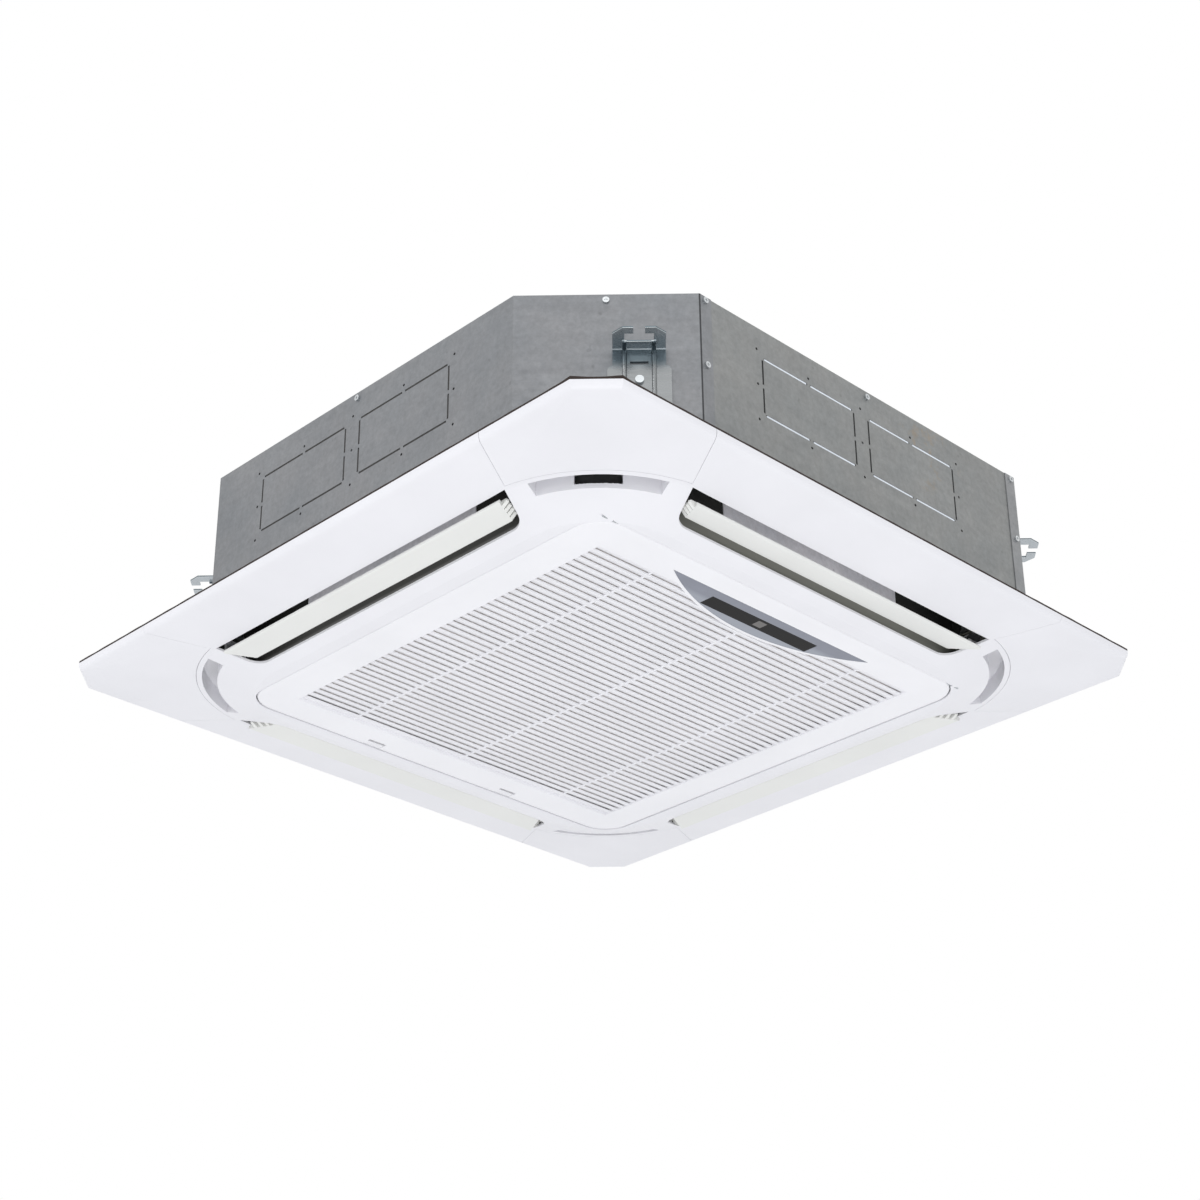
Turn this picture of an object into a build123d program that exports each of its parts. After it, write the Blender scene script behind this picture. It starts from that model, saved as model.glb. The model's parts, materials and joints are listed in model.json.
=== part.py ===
from build123d import *
import math
import os

os.makedirs("parts", exist_ok=True)

# ---------------------------------------------------------------------------
# Four-way ceiling cassette: octagonal steel casing above a square fascia panel.
# Millimetres, +Z up.  Origin: centre of the fascia, at its lowest face.
# Front is -Y (display side and hinge side of the intake grille), back is +Y.
# ---------------------------------------------------------------------------

# fascia shell
panel_half = 475.0
panel_corner_leg = 38.0
plateau_half = 332.0
plateau_corner_radius = 102.0
crease_half = 400.0
crease_z = 19.5
rim_low_z = 30.5
rim_top_z = 39.5
rim_round = 6.5
rim_round_steps = 4
panel_wall = 3.0
ledge_thickness = 2.0
plenum_gap = 2.3
plenum_wall = 2.5
top_flange = 3.0
flange_half = 411.0

# intake grille door
door_half = 313.3
door_gap = 1.2
door_corner_radius = 40.0
door_plate = 3.0
door_rim_half = 292.0
door_rim_wall = 3.0
door_rim_z = 12.0
slat_half_x = 265.0
slat_half_y = 266.0
slot_count = 45
slat_thickness = 1.2
slat_lip = 2.6
slat_rise = 4.2
slat_lap = 0.2
slat_frame_wall = 2.0
slat_frame_height = 6.0
rib_width = 3.0
rib_spacing = 177.0
rib_recess = 2.2
hinge_inset = 2.3
hinge_z = 2.4
hinge_pin_radius = 1.2
hinge_boss_radius = 2.3
hinge_relief = 0.4
hinge_boss_length = 18.0
hinge_boss_margin = 6.0
hinge_pin_overrun = 2.0
running_gap = 0.05
overrun = 1.0

# display
lens_chord_y = -283.3
lens_half_chord = 168.0
lens_depth = 48.0
lens_thickness = 2.0
lens_surround = 4.0
lens_gap = 0.2
window_recess = 0.2
sensor_recess = 0.1
window_length = 180.0
window_width = 21.0
window_y = -260.0
sensor_length = 14.0
sensor_width = 12.0

# grille latches
latch_spacing = 226.0
latch_pocket_x = 27.0
latch_pocket_y = 15.0
latch_travel = 5.0
latch_edge = 2.0
latch_gap = 0.4
latch_plate = 1.8
latch_plate_margin = 5.0
latch_tongue_width = 12.0
latch_pad_recess = 0.6
latch_grip_count = 3
latch_grip_pitch = 2.2
latch_grip_width = 0.9
latch_grip_depth = 0.4
latch_grip_margin = 3.0
rail_wall = 2.0
rail_lip = 2.5
rail_lip_thickness = 1.2

# air outlets and vanes
outlet_inner = 349.0
outlet_outer = 399.0
outlet_half_length = 257.0
outlet_end_slope = 25.0
outlet_inner_radius = 28.0
vane_inner = 358.0
vane_outer = 395.5
vane_outer_half = 245.0
vane_inner_half = 226.0
vane_z = 10.0
vane_thickness = 5.0
vane_edge_round = 2.0
pivot_u = 369.0
pivot_z = 18.0
pivot_radius = 2.5
pivot_end = 256.0
vane_arm_thickness = 3.0
vane_arm_radius = 6.5
vane_arm_inset = 8.0
front_vane_angle = 13.0
bushing_radius = 5.0
bearing_start = 247.0
bearing_end = 262.5
bearing_half_width = 8.0
bearing_top = 26.0
swing_motor_radius = 11.5
swing_motor_length = 11.0
swing_motor_offset = 11.5
liner_wall = 2.0
liner_gap = 1.5
liner_top = 45.0
outlet_cut_gap = 1.0
comb_count = 4
comb_start = 386.0
comb_pitch = 7.65
comb_width = 4.5
comb_reach = 7.8
comb_rise = 5.0
comb_tip = 2.5
comb_root = 3.0

# corner outlets and corner covers
corner_centre = 230.0
corner_slot_inner = 150.0
corner_slot_outer = 169.0
corner_slot_angle = 26.5
corner_window_angle = 10.0
corner_wall = 2.5
end_wall_angle = 0.95
wall_lap_angle = 0.5
corner_window_top = 38.0
post_radius = 112.0
seam_radius = 176.0
seam_gap = 0.5
seam_x = 400.0
seam_y = 262.0
seam_slope = 27.0
ledge_width = 9.0
panel_bolt_xy = 325.0
panel_bolt_radius = 3.0
panel_bolt_gap = 0.4
panel_bolt_head_radius = 6.5
panel_bolt_head_height = 4.0
panel_bolt_length = 16.0

# casing
case_half = 420.0
case_x = 7.0
case_y = -7.0
case_bottom = 46.0
case_height = 205.0
sheet = 1.0
near_leg = 144.0
left_leg = 159.0
right_leg = 126.0
far_leg = 144.0
overlap_flange = 18.0
top_rim_height = 16.0
base_ring_thickness = 1.2
base_ring_inner = 404.0
base_web_sum = 615.0
seal_thickness = 1.0
seal_inner = 326.0

# knock-outs
knockout_length = 157.0
knockout_height = 75.0
knockout_gap = 26.0
knockout_z = 175.0
slit_width = 2.6
bridge = 5.0
pilot_radius = 1.7
pilot_offset = 9.0
knockout_front_shift = -4.0

# screws
screw_head_radius = 3.8
screw_head_height = 2.2
screw_radius = 2.0
screw_length = 6.0
screw_row_z = 245.0
screw_pitch_z = 85.0
screw_rows = 3
screw_from_fold = 8.0
edge_screw_z = 243.0
screw_pocket = 1.5
screw_slot_width = 0.8
screw_slot_depth = 0.8

# hangers
hanger_pitch_x = 680.0
hanger_pitch_y = 780.0
hanger_sheet = 2.0
hanger_base_width = 69.6
hanger_arm_width = 58.0
hanger_fold_z = 179.0
hanger_step_z = 156.0
hanger_foot_z = 92.0
hanger_corner_cut = 11.0
hanger_slot_length = 32.0
hanger_slot_width = 15.0
hanger_entry_width = 12.6
hanger_bead_spacing = 32.0
hanger_bead_radius = 2.6
hanger_lance_length = 20.0
hanger_lance_height = 3.4
hanger_lance_z = 158.5
hanger_bridge_height = 8.0
hanger_bridge_rise = 1.0
hanger_screw_z = 136.6
hanger_screw_head_radius = 4.8
hanger_screw_head_height = 3.2
hanger_slot_margin = 11.2
hanger_foot_radius = 6.0

# heat exchanger, fan, motor, inlet ring
coil_outer = 308.0
coil_inner = 268.0
coil_corner_radius = 48.0
coil_gap = 60.0
coil_plate = 1.5
tube_radius = 4.8
tube_pitch = 25.0
tube_count = 6
liner_thickness = 13.0
fan_radius = 215.0
fan_plate_z = 222.0
fan_plate = 3.0
fan_hub_bottom = 152.0
fan_boss_radius = 13.0
fan_boss_bottom = 138.0
fan_shroud_z = 118.0
fan_shroud_inner = 192.0
fan_shroud = 2.5
fan_blades = 7
fan_blade_thickness = 4.0
blade_inner_radius = 125.0
blade_middle_radius = 168.0
blade_middle_angle = 14.0
blade_end_angle = 34.0
shaft_radius = 6.0
motor_radius = 76.0
motor_bottom = 168.0
motor_flange_radius = 92.0
motor_flange = 4.0
motor_edge_round = 8.0
nut_width = 17.0
nut_height = 7.0
shaft_bottom = 129.0
shaft_grip = 20.0
shaft_end_gap = 1.0
hub_wall = 3.0
hub_top_radius = 86.0
hub_foot_radius = 82.0
inlet_flange_radius = 300.0
inlet_mouth_radius = 216.0
inlet_throat_radius = 184.0
inlet_wall = 2.5
inlet_seat_gap = 1.0
inlet_top = 112.0
pan_mouth_radius = 240.0

# drain pan, pump, float
pan_top = 95.0
trough_inner = 258.0
trough_outer = 318.0
trough_depth = 25.0
pan_outlet_margin = 5.0
pump_radius = 18.0
pump_height = 60.0
pump_cap_inset = 4.0
pump_cap_height = 8.0
pump_xy = 294.0
float_radius = 9.0
float_height = 14.0
float_travel = 8.0
float_head_gap = 15.5
float_stem_radius = 3.0
float_xy = 306.0
float_rest_gap = 0.5
float_head_radius = 11.0
float_head_height = 12.0
drain_radius = 12.5
drain_wall = 2.0
drain_shoulder = 0.5
drain_z = 205.0
drain_y = 95.0
gas_radius = 7.94
liquid_radius = 4.76
pipe_wall = 1.0
gas_y = 215.0
liquid_y = 178.0
pipe_z = 190.0
pipe_reach = 38.0
pipe_plate_length = 110.0
pipe_plate_height = 70.0
pipe_plate_thickness = 1.5
pipe_plate_corner = 6.0
flare_nut_length = 18.0
gas_nut_width = 29.0
liquid_nut_width = 22.0
nut_setback = 12.0
wall_hole_gap = 1.0

# electrical box
box_half_x = 150.0
box_inner_y = 218.0
box_outer_y = 306.0
box_bottom = 22.0
box_wall = 2.0
box_lid_thickness = 1.2
box_lid_corner = 2.0

# plates in the air ducts
duct_plate = 1.0
duct_plate_half = 150.0

# filter
filter_half = 291.5
filter_frame_width = 12.0
filter_thickness = 4.0
filter_mesh_thickness = 1.0
filter_bars = 3
filter_bar_width = 4.0

# --- derived levels ---------------------------------------------------------
case_top = case_bottom + case_height
opening_half = door_half + door_gap
plenum_half = opening_half + plenum_gap
flange_top = case_bottom - seal_thickness
flange_bottom = flange_top - top_flange
hinge_y = -(door_half - hinge_inset)
corner_start = door_half - door_corner_radius
relief_y = -hinge_y + hinge_z + hinge_relief
relief_drop = -hinge_y - hinge_z - corner_start
relief_end = corner_start + math.sqrt(door_corner_radius ** 2 - relief_drop ** 2) + hinge_relief
pan_bottom = case_bottom + base_ring_thickness
inlet_flange_z = pan_bottom
end_run = outlet_outer - outlet_inner
outlet_inner_half = outlet_half_length - end_run * math.tan(math.radians(outlet_end_slope))
slot_pitch = 2 * slat_half_y / slot_count
inner_floor = case_top - sheet - liner_thickness
hanger_bridge_z = hanger_lance_z + (hanger_lance_height + hanger_bridge_height) / 2
trough_floor = pan_top - trough_depth
float_stem_height = float_rest_gap + float_height + float_travel + float_head_gap
outlet_cut_length = 2 * bearing_end + 4 * liner_wall
outlet_cut_width = outlet_outer - outlet_inner + 2 * (liner_gap + liner_wall) + outlet_cut_gap
root2 = math.sqrt(2)


def polar_point(radius, degrees, centre=0):
    """Point at a radius and angle about a centre on the diagonal of the plan."""
    angle = math.radians(degrees)
    return centre + radius * math.cos(angle), centre + radius * math.sin(angle)


def octagon(inset):
    """Corner points of the casing plan, moved in by a distance, about its own centre."""
    h = case_half - inset
    cut = inset * (2 - root2)
    near = near_leg - cut
    left = left_leg - cut
    right = right_leg - cut
    far = far_leg - cut
    return [
        (-h, -h + near), (-h + near, -h), (h - right, -h), (h, -h + right),
        (h, h - far), (h - far, h), (-h + left, h), (-h, h - left),
    ]


# --- shells that give the fascia its outer and inner skins ------------------
def rim_plan(inset):
    """Square rim outline with cut corners, moved in by a distance."""
    side = panel_half - inset
    leg = side - panel_corner_leg + inset * (2 - root2)
    with BuildSketch(Plane.XY) as plan:
        Polygon((side, -leg), (side, leg), (leg, side), (-leg, side),
                (-side, leg), (-side, -leg), (-leg, -side), (leg, -side), align=None)
    return plan.sketch


def skin_space(depth, top, round_steps):
    """The room above a surface that lies a distance above the outer skin, up to a level.

    The rim's lower edge is rounded in that many steps, or sharp with none.
    """
    slope = math.atan2(rim_low_z - crease_z, panel_half - crease_half)
    round_z = rim_low_z + rim_round * (math.cos(slope) - (1 - math.sin(slope)) * math.tan(slope))
    with BuildPart() as space:
        with BuildSketch(Plane.XY.offset(depth)):
            RectangleRounded(2 * plateau_half, 2 * plateau_half, plateau_corner_radius)
        with BuildSketch(Plane.XY.offset(crease_z + depth)):
            RectangleRounded(2 * crease_half, 2 * crease_half, crease_half - corner_centre)
        for step in range(round_steps):
            turned = slope + (math.pi / 2 - slope) * step / round_steps
            with BuildSketch(Plane.XY.offset(round_z - rim_round * math.cos(turned))):
                add(rim_plan(rim_round * (1 - math.sin(turned))))
        last_z = round_z if round_steps else rim_low_z + depth
        with BuildSketch(Plane.XY.offset(last_z)):
            add(rim_plan(depth))
        loft(ruled=True)
        with BuildSketch(Plane.XY.offset(last_z)):
            add(rim_plan(depth))
        extrude(amount=top - last_z)
    return space.part


outer_skin = skin_space(0, rim_top_z, rim_round_steps)
inner_space = skin_space(panel_wall, case_bottom, 0)
ledge_space = skin_space(panel_wall + ledge_thickness, case_bottom, 0)

# one corner cover in plan, near corner (-X, -Y)
cover_reach = panel_half + overrun
seam_end = seam_y + (cover_reach - seam_x) * math.tan(math.radians(seam_slope))
seam_slant = 1 / math.cos(math.radians(seam_slope))


def cover_plan(shift):
    """Plan of the near corner cover, grown by a shift towards the fascia centre."""
    r = seam_radius - shift
    s = corner_centre + r / root2
    edge = seam_y - shift * seam_slant
    end = seam_end - shift * seam_slant
    far = cover_reach
    low = corner_centre + math.sqrt(r * r - (edge - corner_centre) ** 2)
    with BuildSketch(Plane.XY) as plan:
        with BuildLine():
            ThreePointArc((-low, -edge), (-s, -s), (-edge, -low))
            Polyline((-edge, -low), (-end, -far), (-far, -far), (-far, -end), (-low, -edge))
        make_face()
    return plan.sketch


def outlet_plan(grow):
    """Plan of the front outlet mouth, grown by a clearance."""
    u0 = outlet_inner - grow
    u1 = outlet_outer + grow
    a = outlet_inner_half + grow
    b = outlet_half_length + grow
    with BuildSketch(Plane.XY) as plan:
        Polygon((-b, -u1), (b, -u1), (a, -u0), (-a, -u0), align=None)
        corners = plan.vertices().group_by(Axis.Y)[-1]
        fillet(corners, radius=outlet_inner_radius)
    return plan.sketch


def corner_sector(r0, r1, half_angle, z0, z1):
    """Ring sector about the near corner's centre, symmetric about the diagonal."""
    with BuildPart() as sector:
        with BuildSketch(Plane.XY.offset(z0)) as plan:
            with BuildLine():
                angles = (225 - half_angle, 225, 225 + half_angle)
                inner = [polar_point(r0, angle, -corner_centre) for angle in angles]
                outer = [polar_point(r1, angle, -corner_centre) for angle in angles]
                ThreePointArc(inner[0], inner[1], inner[2])
                Line(inner[2], outer[2])
                ThreePointArc(outer[2], outer[1], outer[0])
                Line(outer[0], inner[0])
            make_face()
        extrude(amount=z1 - z0)
    return sector.part


quarter_turns = [0, 90, 180, 270]
bearing_length = bearing_end - bearing_start
bearing_mid = (bearing_start + bearing_end) / 2
wall_top = flange_bottom + overrun
slot_wall_in = corner_slot_inner - corner_wall
slot_wall_out = corner_slot_outer + corner_wall
lap_angle = corner_slot_angle + wall_lap_angle
end_angle = corner_slot_angle + end_wall_angle
slot_box = corner_sector(corner_slot_inner, corner_slot_outer, corner_slot_angle,
                         -overrun, flange_bottom)
wall_sector = corner_sector(slot_wall_in, corner_slot_inner, lap_angle, 0, wall_top)
outer_sector = corner_sector(corner_slot_outer, slot_wall_out, lap_angle, 0, wall_top)
end_sector = corner_sector(slot_wall_in, slot_wall_out, end_angle, 0, wall_top)
end_clear = corner_sector(slot_wall_in - overrun, slot_wall_out + overrun,
                          corner_slot_angle, -overrun, wall_top + overrun)
window_box = corner_sector(slot_wall_in - overrun, corner_slot_inner,
                           corner_window_angle, crease_z, corner_window_top)

with BuildPart() as end_walls:
    add(end_sector)
    add(end_clear, mode=Mode.SUBTRACT)

# strip under the seams of a corner cover, on which the cover rests
with BuildPart() as cover_ledge:
    with BuildSketch(Plane.XY):
        add(cover_plan(ledge_width / 2))
        add(cover_plan(-ledge_width), mode=Mode.SUBTRACT)
    extrude(amount=rim_top_z)
    add(inner_space, mode=Mode.INTERSECT)
    add(ledge_space, mode=Mode.SUBTRACT)

# --- walls inside the fascia, before they are trimmed to the skin -----------
with BuildPart() as inner_walls:
    # plenum wall round the grille opening and the flange that meets the casing
    with BuildSketch(Plane.XY.offset(panel_wall / 2)):
        RectangleRounded(2 * (plenum_half + plenum_wall), 2 * (plenum_half + plenum_wall),
                         door_corner_radius)
        RectangleRounded(2 * plenum_half, 2 * plenum_half, door_corner_radius - plenum_wall,
                         mode=Mode.SUBTRACT)
    extrude(amount=flange_top - panel_wall / 2)
    with BuildSketch(Plane.XY.offset(flange_bottom)):
        Rectangle(2 * flange_half, 2 * flange_half)
        Rectangle(2 * (plenum_half + overrun), 2 * (plenum_half + overrun), mode=Mode.SUBTRACT)
    extrude(amount=top_flange)
    # the flange is open over each outlet
    for turn in quarter_turns:
        with Locations(Plane.XY.rotated((0, 0, turn))):
            with Locations((0, -(outlet_inner + outlet_outer) / 2, flange_bottom + top_flange / 2)):
                Box(outlet_cut_length, outlet_cut_width, 2 * top_flange, mode=Mode.SUBTRACT)
    # corner bolts
    with Locations((0, 0, flange_bottom)):
        with GridLocations(2 * panel_bolt_xy, 2 * panel_bolt_xy, 2, 2):
            Cylinder(panel_bolt_radius + panel_bolt_gap, 4 * top_flange, mode=Mode.SUBTRACT)
    # posts that carry the flange, and the walls of the corner outlets
    for turn in quarter_turns:
        add(corner_sector(post_radius, post_radius + corner_wall, corner_slot_angle,
                          panel_wall / 2, wall_top), rotation=(0, 0, turn))
        add(wall_sector, rotation=(0, 0, turn))
        add(outer_sector, rotation=(0, 0, turn))
        add(end_walls.part, rotation=(0, 0, turn))
    for turn in quarter_turns:
        for side in (-1, 1):
            with Locations(Plane.XY.rotated((0, 0, turn))):
                with Locations((side * bearing_mid, -pivot_u, bearing_top / 2)):
                    Box(bearing_length, 2 * bearing_half_width, bearing_top)
    add(inner_space, mode=Mode.INTERSECT)

with BuildPart() as panel_frame:
    add(outer_skin)
    add(inner_space, mode=Mode.SUBTRACT)
    # the corners are cut out for their covers, which rest on a ledge below the seam
    for turn in quarter_turns:
        with BuildSketch(Plane.XY):
            add(cover_plan(seam_gap / 2), rotation=turn)
        extrude(amount=rim_top_z + 2 * overrun, mode=Mode.SUBTRACT)
    for turn in quarter_turns:
        add(cover_ledge.part, rotation=(0, 0, turn))
    add(inner_walls.part)
    # grille opening
    with BuildSketch(Plane.XY.offset(-overrun)):
        RectangleRounded(2 * opening_half, 2 * opening_half, door_corner_radius + door_gap)
    extrude(amount=panel_wall + 2 * overrun, mode=Mode.SUBTRACT)
    # relief beside the hinge, where the corners of the open grille pass
    for side in (-1, 1):
        with Locations((side * (corner_start + relief_end) / 2, -relief_y / 2, 0)):
            Box(relief_end - corner_start, relief_y, 2 * (panel_wall + running_gap),
                mode=Mode.SUBTRACT)
    # outlet mouths
    for turn in quarter_turns:
        with BuildSketch(Plane.XY.offset(-overrun)):
            add(outlet_plan(0), rotation=turn)
        extrude(amount=rim_top_z + 2 * overrun, mode=Mode.SUBTRACT)
    # corner outlets
    for turn in quarter_turns:
        add(slot_box, rotation=(0, 0, turn), mode=Mode.SUBTRACT)
        add(window_box, rotation=(0, 0, turn), mode=Mode.SUBTRACT)
    # bearing bores for the vane bushings
    for turn in quarter_turns:
        for side in (-1, 1):
            with Locations(Plane.XY.rotated((0, 0, turn))):
                with Locations((side * bearing_mid, -pivot_u, pivot_z)):
                    Cylinder(bushing_radius, bearing_length + 2 * overrun, rotation=(0, 90, 0),
                             mode=Mode.SUBTRACT)
    # sockets for the grille hinge pins
    with Locations((0, hinge_y, hinge_z)):
        Cylinder(hinge_pin_radius + running_gap, 2 * (plenum_half + plenum_wall + 2 * overrun),
                 rotation=(0, 90, 0), mode=Mode.SUBTRACT)
panel_frame.part.label = "panel_frame"
print("panel_frame solids", len(panel_frame.part.solids()), panel_frame.part.volume)
export_step(panel_frame.part, "parts/panel_frame.step")

# --- corner covers ----------------------------------------------------------
with BuildPart() as corner_cover_near:
    with BuildSketch(Plane.XY):
        add(cover_plan(-seam_gap / 2))
    extrude(amount=rim_top_z + overrun)
    add(outer_skin, mode=Mode.INTERSECT)
    add(inner_space, mode=Mode.SUBTRACT)
corner_cover_near.part.label = "corner_cover_near"
export_step(corner_cover_near.part, "parts/corner_cover_near.step")

with BuildPart() as corner_cover_right:
    add(corner_cover_near.part, rotation=(0, 0, 90))
corner_cover_right.part.label = "corner_cover_right"
export_step(corner_cover_right.part, "parts/corner_cover_right.step")

with BuildPart() as corner_cover_far:
    add(corner_cover_near.part, rotation=(0, 0, 180))
corner_cover_far.part.label = "corner_cover_far"
export_step(corner_cover_far.part, "parts/corner_cover_far.step")

with BuildPart() as corner_cover_left:
    add(corner_cover_near.part, rotation=(0, 0, 270))
corner_cover_left.part.label = "corner_cover_left"
export_step(corner_cover_left.part, "parts/corner_cover_left.step")

# --- intake grille door -----------------------------------------------------
lens_radius = (lens_half_chord ** 2 + lens_depth ** 2) / (2 * lens_depth)


def lens_plan(grow):
    """Circular segment of the display lens; the straight side lies on its chord."""
    r = lens_radius + grow
    centre_y = lens_chord_y + lens_depth - lens_radius
    half = math.sqrt(r * r - (lens_chord_y - grow - centre_y) ** 2)
    with BuildSketch(Plane.XY) as plan:
        with BuildLine():
            base = lens_chord_y - grow
            ThreePointArc((half, base), (0, centre_y + r), (-half, base))
            Line((-half, base), (half, base))
        make_face()
    return plan.sketch


latch_y1 = door_half - latch_edge
latch_y0 = latch_y1 - latch_pocket_y
pad_x = latch_pocket_x - 2 * latch_gap
pad_y1 = latch_y1 - latch_gap
pad_y0 = latch_y0 + latch_gap + latch_travel
slide_half_x = latch_pocket_x / 2 + latch_plate_margin
slide_z = door_plate + latch_gap
rail_height = latch_gap * 2 + latch_plate
boss_x1 = door_half - door_corner_radius + hinge_boss_margin
socket_centre = plenum_half + plenum_wall - door_corner_radius
socket_x = socket_centre + math.sqrt(door_corner_radius ** 2 - (-hinge_y - socket_centre) ** 2)


def slat_profile():
    """Section of one intake slat, centred on its slot: lip on the front side, plate behind it."""
    lip_y = -slot_pitch / 2
    end_y = slot_pitch / 2 + slat_lap
    with BuildSketch() as profile:
        Polygon((lip_y, 0), (lip_y + slat_thickness, 0), (end_y, slat_rise),
                (end_y, slat_rise + slat_thickness), (lip_y + slat_thickness, slat_thickness),
                (lip_y + slat_thickness, slat_lip), (lip_y, slat_lip), align=None)
    return profile.sketch


with BuildPart() as grille_door:
    with BuildSketch(Plane.XY):
        RectangleRounded(2 * door_half, 2 * door_half, door_corner_radius)
    extrude(amount=door_plate)
    hinge_edge = grille_door.edges().filter_by(Axis.X).group_by(Axis.Z)[0].sort_by(Axis.Y)[0]
    fillet(hinge_edge, radius=door_plate * 0.98)
    with BuildSketch(Plane.XY.offset(-overrun)):
        Rectangle(2 * slat_half_x, 2 * slat_half_y)
    extrude(amount=door_plate + 2 * overrun, mode=Mode.SUBTRACT)
    # wall round the slats, and the ribs that cross them
    with BuildSketch(Plane.XY):
        Rectangle(2 * (slat_half_x + slat_frame_wall), 2 * (slat_half_y + slat_frame_wall))
        Rectangle(2 * slat_half_x, 2 * slat_half_y, mode=Mode.SUBTRACT)
    extrude(amount=slat_frame_height)
    with BuildSketch(Plane.XY.offset(rib_recess)):
        with GridLocations(rib_spacing, 1, 3, 1):
            Rectangle(rib_width, 2 * (slat_half_y + overrun))
    extrude(amount=slat_frame_height - rib_recess)
    # slats: each rises from its lip and ends above the lip of the next
    with BuildSketch(Plane.YZ.offset(-slat_half_x - overrun)):
        with GridLocations(slot_pitch, 1, slot_count, 1):
            add(slat_profile())
    extrude(amount=2 * (slat_half_x + overrun))
    # upstand that carries the filter
    with BuildSketch(Plane.XY):
        Rectangle(2 * door_rim_half, 2 * door_rim_half)
        Rectangle(2 * (door_rim_half - door_rim_wall), 2 * (door_rim_half - door_rim_wall),
                  mode=Mode.SUBTRACT)
    extrude(amount=door_rim_z)
    # display boss with its recess
    with BuildSketch(Plane.XY):
        add(lens_plan(lens_surround))
    extrude(amount=slat_frame_height)
    with BuildSketch(Plane.XY):
        add(lens_plan(0))
    extrude(amount=lens_thickness, mode=Mode.SUBTRACT)
    # hinge bosses at the two front corners
    for side in (-1, 1):
        with Locations((side * (boss_x1 - hinge_boss_length / 2), hinge_y, hinge_z)):
            Cylinder(hinge_boss_radius, hinge_boss_length, rotation=(0, 90, 0))
    with Locations((0, hinge_y, hinge_z)):
        Cylinder(hinge_pin_radius, 2 * door_half, rotation=(0, 90, 0), mode=Mode.SUBTRACT)
    # latch pockets and the rails that guide the latches
    for side in (-1, 1):
        with Locations((side * latch_spacing / 2, (latch_y0 + latch_y1) / 2, door_plate / 2)):
            Box(latch_pocket_x, latch_pocket_y, door_plate + overrun, mode=Mode.SUBTRACT)
        for end in (-1, 1):
            rail_x = side * latch_spacing / 2 + end * (slide_half_x + latch_gap)
            with Locations((rail_x, (latch_y0 + latch_y1) / 2, door_plate)):
                Box(rail_wall, latch_pocket_y, rail_height + rail_lip_thickness, align=(
                    Align.MIN if end > 0 else Align.MAX, Align.CENTER, Align.MIN))
            with Locations((rail_x, (latch_y0 + latch_y1) / 2, door_plate + rail_height)):
                Box(rail_lip, latch_pocket_y, rail_lip_thickness, align=(
                    Align.MAX if end > 0 else Align.MIN, Align.CENTER, Align.MIN))
grille_door.part.label = "grille_door"
print("grille_door", len(grille_door.part.solids()))
export_step(grille_door.part, "parts/grille_door.step")

with BuildPart() as hinge_pins:
    for side in (-1, 1):
        pin_length = socket_x + hinge_pin_overrun - (boss_x1 - hinge_boss_length)
        with Locations((side * (boss_x1 - hinge_boss_length), hinge_y, hinge_z)):
            Cylinder(hinge_pin_radius, pin_length, rotation=(0, side * 90, 0),
                     align=(Align.CENTER, Align.CENTER, Align.MIN))
hinge_pins.part.label = "hinge_pins"
export_step(hinge_pins.part, "parts/hinge_pins.step")


def latch(side):
    """Sliding grille latch: finger pad in the pocket, plate and tongue above it."""
    with BuildPart() as slider:
        with BuildSketch(Plane.XY.offset(latch_pad_recess)):
            with Locations((side * latch_spacing / 2, (pad_y0 + pad_y1) / 2)):
                Rectangle(pad_x, pad_y1 - pad_y0)
        extrude(amount=slide_z - latch_pad_recess)
        with BuildSketch(Plane.XY.offset(slide_z)):
            with Locations((side * latch_spacing / 2, (pad_y0 + latch_y1) / 2)):
                Rectangle(2 * slide_half_x, latch_y1 - pad_y0)
            with Locations((side * latch_spacing / 2, (pad_y0 + opening_half) / 2)):
                Rectangle(latch_tongue_width, opening_half - pad_y0 - 2 * latch_gap)
        extrude(amount=latch_plate)
        with Locations((side * latch_spacing / 2, (pad_y0 + pad_y1) / 2, latch_pad_recess)):
            with GridLocations(1, latch_grip_pitch, 1, latch_grip_count):
                Box(pad_x - 2 * latch_grip_margin, latch_grip_width, 2 * latch_grip_depth,
                    mode=Mode.SUBTRACT)
    return slider.part


with BuildPart() as latch_left:
    add(latch(-1))
latch_left.part.label = "latch_left"
export_step(latch_left.part, "parts/latch_left.step")

with BuildPart() as latch_right:
    add(latch(1))
latch_right.part.label = "latch_right"
export_step(latch_right.part, "parts/latch_right.step")

# --- display ----------------------------------------------------------------
with BuildPart() as display_lens:
    with BuildSketch(Plane.XY):
        add(lens_plan(-lens_gap))
        with Locations((0, window_y)):
            Rectangle(window_length, window_width, mode=Mode.SUBTRACT)
    extrude(amount=lens_thickness)
display_lens.part.label = "display_lens"
export_step(display_lens.part, "parts/display_lens.step")

with BuildPart() as display_window:
    with BuildSketch(Plane.XY.offset(window_recess)):
        with Locations((0, window_y)):
            Rectangle(window_length, window_width)
            Rectangle(sensor_length, sensor_width, mode=Mode.SUBTRACT)
    extrude(amount=lens_thickness - window_recess)
display_window.part.label = "display_window"
export_step(display_window.part, "parts/display_window.step")

with BuildPart() as receiver_lens:
    with BuildSketch(Plane.XY.offset(sensor_recess)):
        with Locations((0, window_y)):
            Rectangle(sensor_length, sensor_width)
    extrude(amount=lens_thickness - sensor_recess)
receiver_lens.part.label = "receiver_lens"
export_step(receiver_lens.part, "parts/receiver_lens.step")

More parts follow.
